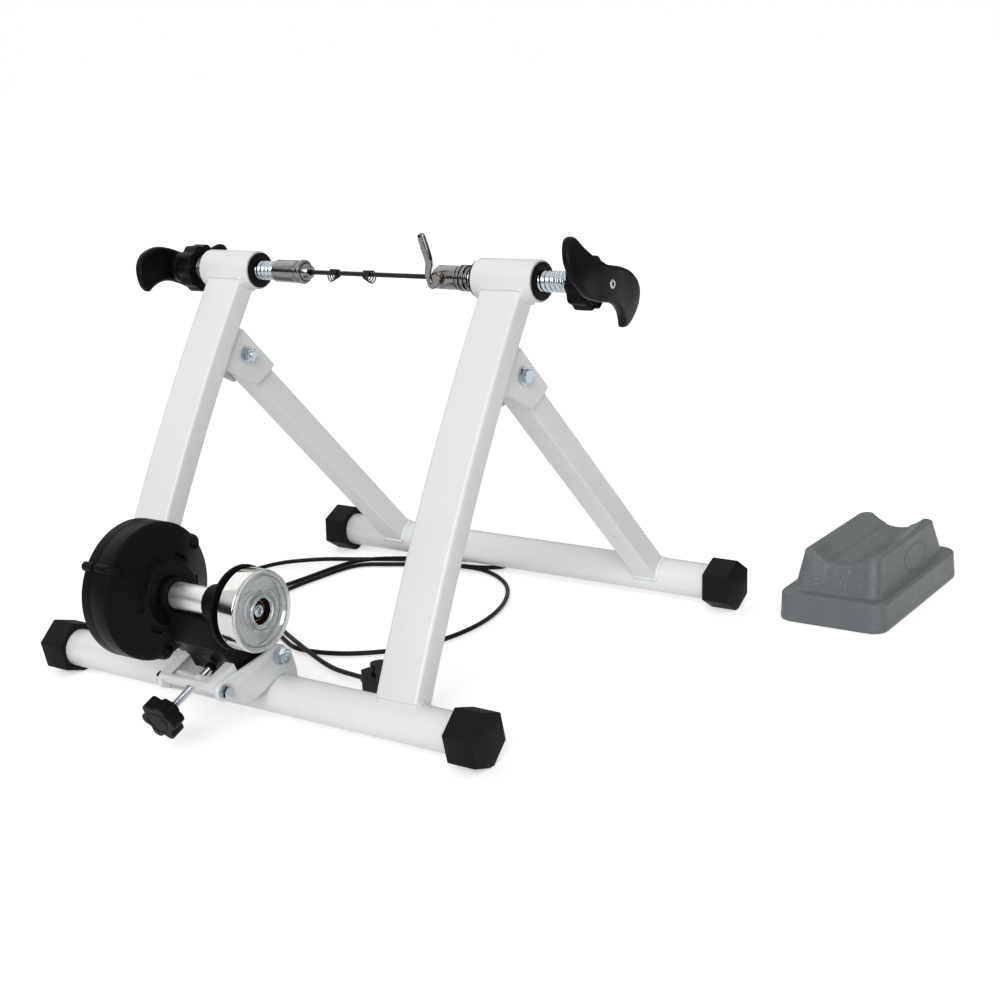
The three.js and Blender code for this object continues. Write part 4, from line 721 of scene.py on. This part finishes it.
def handleScrew(s, inner):
    # a domed head with a shallow dish, and its shank
    outer = inner + s["hubLength"]
    head = [
        (outer - 3.1, 0), (outer - 3.1, s["screw"]), (outer + 0.2, s["screw"] - 0.3), (outer + 0.7, 3.4),
        (outer + 0.7, 2.2), (outer - 1.6, 2.0), (outer - 1.6, 0),
    ]
    shank = [(outer - 11, 0), (outer - 11, s["screwShank"]), (outer - 3, s["screwShank"]), (outer - 3, 0)]
    return [lathe(head, 0.35, 40, False), lathe(shank, 0.2, 20, False)]


ring = {
    "radius": 25.0, "scallop": 2.0, "lobes": 10, "knurls": 60, "knurl": 0.25, "length": 18.0, "bore": 13.5,
    "soft": 1.6, "face": (19.5, 20.5, 21.5), "dent": 0.9,
}


def scalloped(angle, x, radius):
    # the rim dips between its lobes and carries fine knurls; the bore stays round
    share = np.clip((radius - 19) / 5, 0, 1)
    dip = ring["scallop"] * (1 - np.cos(angle * ring["lobes"])) / 2
    knurl = ring["knurl"] * (1 - np.cos(angle * ring["knurls"])) / 2
    return radius - share * (dip + knurl)


def collar(s, side, start):
    # a ring from its inner end to its outer one, with a dent round each end face
    low, middle, high = s["face"]
    end = start + s["length"]
    profile = [
        (start, s["bore"]), (start, low), (start + s["dent"], middle), (start, high), (start, s["radius"]),
        (end, s["radius"]), (end, high), (end - s["dent"], middle), (end, low), (end, s["bore"]),
    ]
    return lathe([(side * x, radius) for x, radius in profile], s["soft"], 240, reach=scalloped)


# what differs from side to side: the handle's inner end, its tip and its turn, and the ring's inner end
clamps = {
    -1: {"handleAt": 247.0, "tip": 64.0, "turn": -33, "ringAt": 218.0},
    1: {"handleAt": 266.0, "tip": 65.1, "turn": 0, "ringAt": 247.6},
}
for side, word in ((-1, "left"), (1, "right")):
    s = handle | clamps[side]
    at = s["handleAt"]
    place = axleFrame @ np.array(Matrix.Rotation(math.radians(s["turn"]), 4, "X"))
    if side < 0:
        place = place @ np.array(Matrix.Rotation(math.pi, 4, "Y"))
    makePiece("clamp_handle_" + word, [handleWings(s, at), handleHub(s, at)], place, "abs",
              clampBodies[side][1], [word + "_handle"], 50)
    makePiece("handle_screw_" + word, handleScrew(s, at), place, "zinc", clampBodies[side][1])
    makePiece("lock_collar_" + word, [collar(ring, side, s["ringAt"])], axleFrame, "nylon",
              clampBodies[side][2], [word + "_lock_ring"], 40)
print("clamps made")

# Quick release lever and springs
# the lever's line is a share of its reach in X and in Z
lever = {
    "pin": (99.5, 3.0), "plane": -14.5, "reach": (-16.5, 41.0), "wide": 4.1, "thick": 2.7,
    "line": [(0, 0), (0.12, -0.17), (0.42, -0.2), (0.62, 0.06), (0.5, 0.31), (0.74, 0.67), (1, 1)],
}
leverPlace = axleFrame @ frameAt(lever["pin"][0], 0, lever["pin"][1])


def leverBar(s):
    # a flattened bar along the lever's line, that narrows at its bend and rounds off at both ends
    shares = np.array(s["line"])
    route = np.column_stack([shares[:, 0] * s["reach"][0], np.full(len(shares), s["plane"]),
                             shares[:, 1] * s["reach"][1]])
    line = smoothRoute(route, 12)
    share = np.linspace(0, 1, len(line))
    size = np.interp(share, [0, 0.2, 0.45, 0.8, 1], [1, 0.95, 0.72, 1.0, 0.9])
    ends = np.sqrt(np.clip(1 - (1 - np.minimum(share, 1 - share) / 0.05).clip(0) ** 2, 0.0004, 1))
    tangent = np.gradient(line, axis=0)
    tangent /= np.linalg.norm(tangent, axis=1, keepdims=True)
    side = np.array([0.0, 1.0, 0.0])
    across = np.cross(tangent, side)
    angle = np.linspace(0, 2 * np.pi, 24, endpoint=False)[None, :, None]
    size = (size * ends)[:, None, None]
    cos, sin = np.cos(angle), np.sin(angle)
    soft = (np.abs(cos) ** 4 + np.abs(sin) ** 4) ** -0.25      # a squarer circle
    section = s["wide"] * cos * across[:, None] + s["thick"] * sin * side
    return (line[:, None] + size * soft * section, False, True, True)


def turnedToY(grid):
    # a grid made along X, turned to lie along Y
    return (grid[0] @ alongY[:3, :3].T, *grid[1:])


leverGrids = [
    leverBar(lever),
    turnedToY(lathe([(-17.2, 0), (-17.2, 3.2), (-16.6, 5.0), (-12.3, 5.0), (-12.2, 0)], 0.6, 40, False)),
    turnedToY(lathe([(-14.5, 0), (-14.5, 2.2), (8.8, 2.2), (8.8, 0)], 0.3, 28, False)),
]
makePiece("release_lever", leverGrids, leverPlace, "castChrome", "skewer_lever",
          ["skewer_lever"], 50)

spring = {"wire": 0.7, "wide": 6.2, "narrow": 3.5, "length": 11.0, "turns": 4.5, "rod": 2.4, "gap": 0.3}


def springLine(s, startX, way):
    # a cone's helix that hangs on the rod by the tops of its curls
    share = np.linspace(0, 1, 170)
    radius = s["wide"] + (s["narrow"] - s["wide"]) * share
    sag = radius - s["wire"] - s["rod"] - s["gap"]
    angle = share * s["turns"] * 2 * np.pi
    x = startX + way * share * s["length"]
    return np.column_stack([x, radius * np.sin(angle), radius * np.cos(angle) - sag])


for word, startX, way in (("left", -45, 1), ("right", 9, -1)):
    coil = alongPath(springLine(spring, startX, way), spring["wire"], 8)
    makePiece("cone_spring_" + word, [(coil, False, True, True)], axleFrame, "blackSteel", "left_clamp",
              ["skewer_spring_" + word], 70)
print("release made")

# Adjusting screw and knob
knob = {
    "centre": -117.0, "radius": 20.0, "dip": 4.5, "lobes": 6, "thick": 14.0, "soft": 1.1,
    "hub": 8.0, "hubLength": 6.8, "bore": 3.9,
}
screwThread = {"reach": (-117.7, -48.5), "radius": 3.6, "pitch": 1.4, "depth": 0.45}


def starKnob(angle, x, radius):
    # the radius dips between six lobes by the cosine's power, more the nearer it is to the rim
    share = np.clip((radius - 8) / 10, 0, 1)
    dip = ((1 - np.cos(angle * knob["lobes"])) / 2) ** 1.5
    return radius - share * knob["dip"] * dip


low, high = knob["centre"] - knob["thick"] / 2, knob["centre"] + knob["thick"] / 2
hubEnd = high + knob["hubLength"]
knobProfile = [
    (low, 0), (low, 10), (low + 0.8, 11.5), (low, 13), (low, knob["radius"]), (high, knob["radius"]),
    (high, knob["hub"] + 1.5), (hubEnd, knob["hub"]), (hubEnd, knob["bore"]), (high - 8, knob["bore"]),
    (high - 8, 0),
]
knobBody = turnedToY(lathe(knobProfile, knob["soft"], 180, False, 4, starKnob))
makePiece("star_knob", [knobBody], screwFrame, "abs", "adjuster_screw",
          ["adjuster_knob"], 50)
s = screwThread
thread = threaded(*s["reach"], s["radius"], s["pitch"], s["depth"], 32, 8)
makePiece("adjuster_thread", [turnedToY(thread)], screwFrame, "zinc", "adjuster_screw",
          ["adjuster_screw"], 40)
print("adjuster made")

# Flywheel with its clear cap and axle screw; every outline is X from the roller's middle and radius
flywheelProfile = [
    (62, 5.3), (62, 36.2), (62.7, 36.8), (78.6, 36.8), (79.5, 35.9), (79.5, 33.2), (77.8, 32.3), (75.5, 31.0),
    (75.5, 14.5), (79.0, 13.2), (79.5, 12.6), (79.5, 11.8), (73, 11.0), (73, 5.3),
]
makePiece("flywheel_rim", [lathe(flywheelProfile, 0.7, 128)], flywheelFrame, "chrome", "roller_rotor",
          ["flywheel"])
capProfile = [
    (79.8, 11.8), (79.8, 36.0), (80.4, 36.4), (81.6, 35.6), (82.2, 34.4), (82.2, 33.0), (81.0, 31.4),
    (80.8, 20), (82.0, 17.0), (82.2, 14.5), (81.8, 12.6), (81.0, 11.8),
]
makePiece("clear_cap", [lathe(capProfile, 0.6, 128)], flywheelFrame, "clearCap", "roller_rotor",
          ["flywheel_face"])
recess = [(73.1, 5.5), (73.1, 10.9), (79.4, 11.7), (79.4, 11.2), (73.7, 10.3), (73.7, 5.5)]
makePiece("hub_recess", [lathe(recess, 0.1, 96)], flywheelFrame, "nylon", "roller_rotor")
# thin black rings at the feet of the flywheel's walls under the cap, standing for the shade in the grooves
# there: painted shade, not parts of their own
grooveShadeRings = [
    lathe([(79.55, 31.2), (79.55, 32.0), (79.75, 32.0), (79.75, 31.2)], 0.05, 96),
    lathe([(79.55, 15.6), (79.55, 16.5), (79.75, 16.5), (79.75, 15.6)], 0.05, 96),
]
makePiece("painted_groove_shade_rings", grooveShadeRings, flywheelFrame, "blackSteel", "roller_rotor")
axleScrew = [(73.2, 0), (73.2, 6.6), (75.4, 6.8), (77.4, 5.6), (78.2, 3.0), (76.4, 2.2), (76.4, 0)]
makePiece("axle_screw", [lathe(axleScrew, 0.7, 56, False)], flywheelFrame, "zinc", "roller_rotor")
axleWasher = [(73.8, 8.3), (73.8, 9.9), (74.6, 9.9), (74.6, 8.3)]
makePiece("axle_washer", [lathe(axleWasher, 0.2, 56)], flywheelFrame, "copper", "roller_rotor")
print("flywheel made")

# Magnet housing: two turned shells with screw lugs on their rim and slots round the hub plate
shell = {
    "lugs": (146, 33, 272), "lugRadius": 4.5, "lugAt": 63.4, "rim": 64.0, "inside": 61.4, "bore": 16.8,
    "split": -63.5, "gap": 0.5, "sides": 360, "cone": (-28.1, 30.83), "coneRise": 1.917,
    "slotTurn": 57, "slotCount": 6, "slotAt": 34.9, "slotWide": 4.6, "slotLong": 18.0, "slotDeep": 2.3,
    "slotEdge": 0.5,
}
# rows close enough to carry the slots' edges, down the cone
slotRows = [(shell["cone"][0] - (r - shell["cone"][1]) / shell["coneRise"], r)
            for r in np.arange(31.2, 39.0, 0.4).tolist()]
frontShell = [
    (-26.1, shell["bore"]), (-26.1, 29.6), (-26.9, 30.4), (-28.0, 30.5), *slotRows, (-44.3, 61.6),
    (-46.2, shell["rim"]), (shell["split"], shell["rim"]), (shell["split"], shell["inside"]),
    (-47.2, shell["inside"]), (-45.6, 58.6), (-30.9, 30.5), (-30.9, shell["bore"]),
]
backStart = shell["split"] - shell["gap"]
backShell = [
    (-78.9, 0), (-78.9, 30), (-78.3, 31), (-78.3, 55), (-78.9, 56), (-78.9, 57), (-76.9, 62),
    (-74.9, shell["rim"]), (backStart, shell["rim"]), (backStart, shell["inside"]), (-74.9, shell["inside"]),
    (-76.3, 54.4), (-76.3, 0),
]
boss = {"reach": (-87.9, -67.0), "radius": 5.5, "bore": 3.0, "depth": 6.0, "out": 69.2, "angle": -35}


def slotted(grid, s):
    # points within a slot's width and length sink by its depth along X, with a steep even edge
    points = grid[0].copy()
    radius = np.hypot(points[..., 1], points[..., 2])
    angle = np.degrees(np.arctan2(points[..., 2], points[..., 1])) - s["slotTurn"]
    each = 360 / s["slotCount"]
    along = np.radians((angle + each / 2) % each - each / 2) * radius
    share = (np.clip((s["slotWide"] / 2 - np.abs(radius - s["slotAt"])) / s["slotEdge"], 0, 1)
             * np.clip((s["slotLong"] / 2 - np.abs(along)) / s["slotEdge"], 0, 1))
    points[..., 0] -= s["slotDeep"] * share * (points[..., 0] > -34)
    return (points, *grid[1:])


def lug(s, degrees, path):
    # a post that runs along the rim at its angle; path gives X and the distance from the axis
    turn = math.radians(degrees)
    line = softCorners(path, 3, 5, False)
    line = line[np.append(True, np.linalg.norm(np.diff(line, axis=0), axis=1) > 1e-6)]
    at = np.linspace(0, 1, 30)
    run = np.append(0, np.cumsum(np.linalg.norm(np.diff(line, axis=0), axis=1)))
    line = np.stack([np.interp(at, run / run[-1], line[:, k]) for k in (0, 1)], 1)
    points = np.column_stack([line[:, 0], line[:, 1] * math.cos(turn), line[:, 1] * math.sin(turn)])
    ends = np.sqrt(np.clip(1 - (1 - np.minimum(at, 1 - at) / 0.1).clip(0) ** 2, 0.05, 1))
    return (alongPath(points, s["lugRadius"] * ends, 24), False, True, True)


frontPath = [(shell["split"], shell["rim"]), (-51, shell["rim"]), (-46.5, 62.6), (-42.6, 57.4), (-40.8, 53.6)]
backPath = [(-78.2, shell["lugAt"]), (-64.1, shell["rim"])]
frontLugs = [lug(shell, degrees, frontPath) for degrees in shell["lugs"]]
backLugs = [lug(shell, degrees, backPath) for degrees in shell["lugs"]]
frontGrid = slotted(lathe(frontShell, 0.25, shell["sides"], steps=2), shell)
makePiece("housing_front_shell", [frontGrid, *frontLugs], rollerFrame, "nylon", "roller_unit",
          ["housing_inner_shell"], 32)
bossTurn = math.radians(boss["angle"])
mouth, root = boss["reach"]
bossProfile = [
    (root, 0), (root, boss["radius"]), (mouth + 1, boss["radius"]), (mouth, boss["radius"] - 1),
    (mouth, boss["bore"]), (mouth + boss["depth"], boss["bore"]), (mouth + boss["depth"], 0),
]
bossGrid = lathe(bossProfile, 0.4, 48, False)
bossGrid[0][..., 1:] += boss["out"] * np.array([math.cos(bossTurn), math.sin(bossTurn)])
backGrids = [lathe(backShell, 0.4, 180, False), bossGrid, *backLugs]
makePiece("housing_back_shell", backGrids, rollerFrame, "nylon", "roller_unit",
          ["housing_outer_shell"], 32)
screwProfile = [(-77.6, 0), (-77.6, 2.9), (-79.0, 2.6), (-79.3, 1.4), (-78.5, 0.9), (-78.5, 0)]
for number, degrees in enumerate(shell["lugs"], 1):
    angle = math.radians(degrees)
    place = rollerFrame @ frameAt(0, shell["lugAt"] * math.cos(angle), shell["lugAt"] * math.sin(angle))
    makePiece("housing_screw_%d" % number, [lathe(screwProfile, 0.3, 32, False)], place, "zinc",
              "roller_unit")

# The yoke's front face under the roller
cover = {
    "reach": (-25.8, 31.4), "soft": 1.2,
    "side": [(-10.3, -14.8), (-7.5, -42.6), (-1.5, -46.4), (2.0, -44.0), (-2.0, -16.5), (-6.0, -13.9)],
}


def coverGrid(s):
    # the side's outline carried across, drawn in a little at both ends
    side = softCorners(s["side"], s["soft"], 4)
    middle = side.mean(0)
    ends = np.array([(s["reach"][0], 0.93), (s["reach"][0] + s["soft"], 1), (s["reach"][1] - s["soft"], 1),
                     (s["reach"][1], 0.93)])
    rows = [np.column_stack([np.full(len(side), x), middle + (side - middle) * share]) for x, share in ends]
    return (np.array(rows), False, True, True)


makePiece("yoke_front", [coverGrid(cover)], rollerFrame, "nylon", "roller_unit",
          smoothTo=30)

# Strain relief of the cable, tapered and ribbed, on the housing's boss
relief = {"length": 20.0, "wide": 4.9, "narrow": 3.1, "ribs": 6, "dip": 0.35}


def reliefGrid(s):
    # a tube along the cable's first part; the radius falls evenly and dips between the ribs
    step = np.linalg.norm(np.diff(cableLine, axis=0), axis=1)
    run = np.concatenate([[0], np.cumsum(step)])
    at = np.linspace(0.2, s["length"], 60)
    line = np.stack([np.interp(at, run, cableLine[:, k]) for k in range(3)], 1)
    share = at / s["length"]
    radius = s["wide"] + (s["narrow"] - s["wide"]) * share
    radius = radius - s["dip"] * (1 - np.cos(share * s["ribs"] * 2 * np.pi)) / 2
    return (alongPath(line, radius, 28), False, True, True)


makePiece("cable_relief", [reliefGrid(relief)], wholeFrame, "nylon", "roller_unit")
print("unit details made")

# Front wheel block
block = {
    "width": 117.0, "length": 220.0, "base": 31.0, "corner": 18.0, "draft": 2.0, "baseSoft": 3.6,
    "ledge": (95.0, 187.0), "top": (83.0, 157.0), "bodyCorner": 12.0, "topSoft": 1.8, "ridge": 70.0,
    "valley": 58.2, "groove": 59.0, "bulge": 7.0, "crisp": 0.45, "channel": 1.5, "channelHalf": 15.0,
    "channelEdge": 1.5, "around": 320,
}


def grooveHeight(s, x, y):
    # the top is the lower of flat ridges and an arc that touches the valley, joined by a soft minimum with a
    # crisp edge; the arc is wider at the block's middle than at its ends by a cosine, and has a channel in it
    depth = s["ridge"] - s["valley"]
    half = s["groove"] / 2 + s["bulge"] * np.cos(np.clip(y / s["top"][1], -0.5, 0.5) * np.pi)
    radius = (half ** 2 + depth ** 2) / (2 * depth)
    arc = s["valley"] + radius - np.sqrt(np.maximum(radius ** 2 - x ** 2, 0))
    arc = arc - s["channel"] * np.clip((s["channelHalf"] - np.abs(x)) / s["channelEdge"], 0, 1)
    weights = np.exp(-depth / s["crisp"]) + np.exp(-(arc - s["valley"]) / s["crisp"])
    return s["valley"] - s["crisp"] * np.log(weights)


def evenBox(width, length, corner, count):
    # a rounded rectangle's outline with evenly spaced points
    outline = roundedBox(width, length, corner, 10)
    closed = np.vstack([outline, outline[:1]])
    run = np.concatenate([[0], np.cumsum(np.linalg.norm(np.diff(closed, axis=0), axis=1))])
    at = np.linspace(0, run[-1], count, endpoint=False)
    return np.stack([np.interp(at, run, closed[:, k]) for k in range(2)], 1)


def blockRings(s):
    # rings from the floor up: base wall, its rounded edge, the ledge, the tapering body and the grooved top
    count = s["around"]
    base = evenBox(s["width"], s["length"], s["corner"], count)
    baseTop = evenBox(s["width"] - s["draft"], s["length"] - s["draft"], s["corner"], count)
    ledge = evenBox(*s["ledge"], s["bodyCorner"], count)
    top = evenBox(*s["top"], s["bodyCorner"] * 0.85, count)
    rings = []

    def put(outline, z):
        rings.append(np.column_stack([outline, np.broadcast_to(z, count)]))

    # the underside's middle, its soft edge, and the lip that the wall steps in from
    for share, z in ((0, 0), (0.985, 0), (0.995, 1.0), (1, 2.6), (1, 7.2), (0.996, 7.8), (0.996, 8.4)):
        put(base * share, z)
    for turn in np.linspace(0, np.pi / 2, 7):
        shrink = s["baseSoft"] * (1 - np.cos(turn))
        ratio = 1 - shrink * 2 / np.array([s["width"], s["length"]])
        put(baseTop * ratio, s["base"] - s["baseSoft"] * (1 - np.sin(turn)))
    for share, z in ((1.03, 0.0), (1.01, 0.15), (1.0, 0.9)):
        put(ledge * share, s["base"] + z)
    reach = grooveHeight(s, top[:, 0], top[:, 1])
    for share in np.linspace(0.08, 0.9, 9):
        put(ledge + (top - ledge) * share, s["base"] + (reach - s["base"]) * share)
    for turn in np.linspace(0, np.pi / 2, 6):
        shrink = s["topSoft"] * (1 - np.cos(turn))
        ratio = 1 - shrink * 2 / np.array(s["top"])
        outline = (ledge + (top - ledge) * (0.93 + 0.07 * np.sin(turn))) * ratio
        put(outline, grooveHeight(s, outline[:, 0], outline[:, 1]) - s["topSoft"] * (1 - np.sin(turn)))
    last = rings[-1][:, :2]
    for share in np.linspace(0.96, 0.0, 30):
        put(last * share, grooveHeight(s, last[:, 0] * share, last[:, 1] * share))
    return (np.array(rings), False, True, False)


makePiece("front_wheel_block", [blockRings(block)], blockFrame, "greyMoulding", "wheel_block",
          ["wheel_block"], 60)

# A bare raised oval on the block's sloping side
bareOval = {
    "across": 45.0, "along": 14.5, "up": 47.4, "long": 30.0, "high": 12.6, "wire": 0.6,
    "slope": math.atan2((block["ledge"][0] - block["top"][0]) / 2, block["ridge"] - block["base"]),
}


def ovalLine(s):
    # an ellipse that stands on the side's slope
    turn = np.linspace(0, 2 * np.pi, 73)
    up = s["high"] * np.sin(turn)
    return np.stack([s["across"] - up * math.sin(s["slope"]), s["along"] + s["long"] * np.cos(turn),
                     s["up"] + up * math.cos(s["slope"])], 1)


ovalGrid = (alongPath(ovalLine(bareOval), bareOval["wire"], 8), False, True, True)
makePiece("block_bare_oval", [ovalGrid], blockFrame, "greyMoulding", "wheel_block",
          smoothTo=80)
print("block made")

# CAD nodes that stay: welded, their edges broken, shaded smooth, each with its own finish
kept = {
    "powderCoat": (["near_base_tube", "far_base_tube", "hinge_bracket_left", "hinge_bracket_right",
                    "barrel_left", "barrel_right", "ear_left", "ear_right", "cross_bracket"], 0.5),
    "rubber": (["near_foot_left", "near_foot_right", "far_foot_left", "far_foot_right"], 1.3),
    "nylon": (["inner_bush_left", "inner_bush_right", "outer_bush_left", "outer_bush_right", "thrust_cap",
               "yoke", "remote_body", "remote_lever"], 0.5),
    "zinc": (["left_lock_insert", "right_lock_insert"], 0.3),
    "turnedSteel": (["magnet_carrier", "left_bearing", "right_bearing", "roller_shaft", "skewer_nut"], 0.3),
    "blackSteel": (["skewer_rod"], 0.3),
    "castChrome": (["skewer_cam_housing"], 0.3),
    "aluminium": (["rotor_disc", "roller"], 0.5),
}
for finish, (names, width) in kept.items():
    for name in names:
        node = nodes[name]
        node.data.materials.clear()
        node.data.materials.append(finishes[finish])
        node.data.polygons.foreach_set("use_smooth", np.ones(len(node.data.polygons), bool))
        merge = node.modifiers.new("merge", "WELD")
        merge.merge_threshold = 0.00001
        broken = node.modifiers.new("broken_edges", "BEVEL")
        broken.width = width / 1000
        broken.segments = 3
        broken.limit_method = "ANGLE"
        broken.angle_limit = math.radians(38)
        broken.harden_normals = True
        broken.use_clamp_overlap = True
print("nodes finished")

# Studio: pale floor, soft lamps, white surroundings for the camera and for reflections
studio = {"floor": 60.0, "under": 0.0005, "around": 0.38, "glow": 0.46}
suns = {
    "key": {"from": (0.38, -0.79, 0.5), "power": 1.9, "wide": 38},
    "rim": {"from": (-0.75, 0.2, 0.62), "power": 0.45, "wide": 60},
}


def makeFloor(s):
    # pale paper a hair under the feet, that glows a little to the camera, to reflections and through the cap
    mesh = bpy.data.meshes.new("floor")
    half = s["floor"] / 2
    corners = [(-half, -half), (half, -half), (half, half), (-half, half)]
    mesh.from_pydata([(x, y, -s["under"]) for x, y in corners], [], [(0, 1, 2, 3)])
    made = bpy.data.objects.new("floor", mesh)
    bpy.context.scene.collection.objects.link(made)
    material = bpy.data.materials.new("studio_paper")
    material.use_nodes = True
    tree = material.node_tree
    tree.nodes.clear()
    paper = addNode(tree, "ShaderNodeBsdfDiffuse", {"Color": linear("#F4F4F4")})
    glow = addNode(tree, "ShaderNodeEmission", {"Color": linear("#FFFFFF"), "Strength": s["glow"]})
    rays = addNode(tree, "ShaderNodeLightPath")
    seen = addNode(tree, "ShaderNodeMath", {0: (rays, "Is Camera Ray"), 1: (rays, "Is Glossy Ray")},
                   operation="MAXIMUM")
    seenAll = addNode(tree, "ShaderNodeMath", {0: (seen, 0), 1: (rays, "Is Transmission Ray")},
                      operation="MAXIMUM")
    both = addNode(tree, "ShaderNodeAddShader", {0: (paper, 0), 1: (glow, 0)})
    mixed = addNode(tree, "ShaderNodeMixShader", {0: (seenAll, 0), 1: (paper, 0), 2: (both, 0)})
    addNode(tree, "ShaderNodeOutputMaterial", {"Surface": (mixed, 0)})
    made.data.materials.append(material)


def makeWorld(strength):
    # white to the camera, even to soft light, and to reflections a dark wall under a bright ceiling
    world = bpy.data.worlds.new("studio")
    bpy.context.scene.world = world
    world.use_nodes = True
    tree = world.node_tree
    tree.nodes.clear()
    rays = addNode(tree, "ShaderNodeLightPath")
    place = addNode(tree, "ShaderNodeTexCoord")
    parts = addNode(tree, "ShaderNodeSeparateXYZ", {0: (place, "Generated")})
    ceiling = addNode(tree, "ShaderNodeMapRange", {
        "Value": (parts, "Z"), "From Min": 0.22, "From Max": 0.5, "To Min": 0.03, "To Max": 0.95,
    }, interpolation_type="SMOOTHSTEP")
    soft = addNode(tree, "ShaderNodeBackground", {"Color": linear("#FFFFFF"), "Strength": strength})
    mirrored = addNode(tree, "ShaderNodeBackground", {"Color": linear("#FFFFFF"), "Strength": (ceiling, 0)})
    white = addNode(tree, "ShaderNodeBackground", {"Color": linear("#FFFFFF"), "Strength": 1.0})
    seen = addNode(tree, "ShaderNodeMath", {0: (rays, "Is Camera Ray"), 1: (rays, "Is Transmission Ray")},
                   operation="MAXIMUM")
    dull = addNode(tree, "ShaderNodeMixShader", {0: (rays, "Is Glossy Ray"), 1: (soft, 0), 2: (mirrored, 0)})
    mixed = addNode(tree, "ShaderNodeMixShader", {0: (seen, 0), 1: (dull, 0), 2: (white, 0)})
    addNode(tree, "ShaderNodeOutputWorld", {"Surface": (mixed, 0)})


def makeSun(name, s):
    # a wide soft sun, so that the floor is lit evenly up to its far edge
    data = bpy.data.lights.new(name, "SUN")
    data.energy = s["power"]
    data.angle = math.radians(s["wide"])
    made = bpy.data.objects.new(name, data)
    made.rotation_euler = Vector(s["from"]).to_track_quat("Z", "Y").to_euler()
    bpy.context.scene.collection.objects.link(made)


makeFloor(studio)
makeWorld(studio["around"])
for name, settings in suns.items():
    makeSun(name, settings)
bpy.context.scene.view_settings.view_transform = "Standard"
print("studio lit")
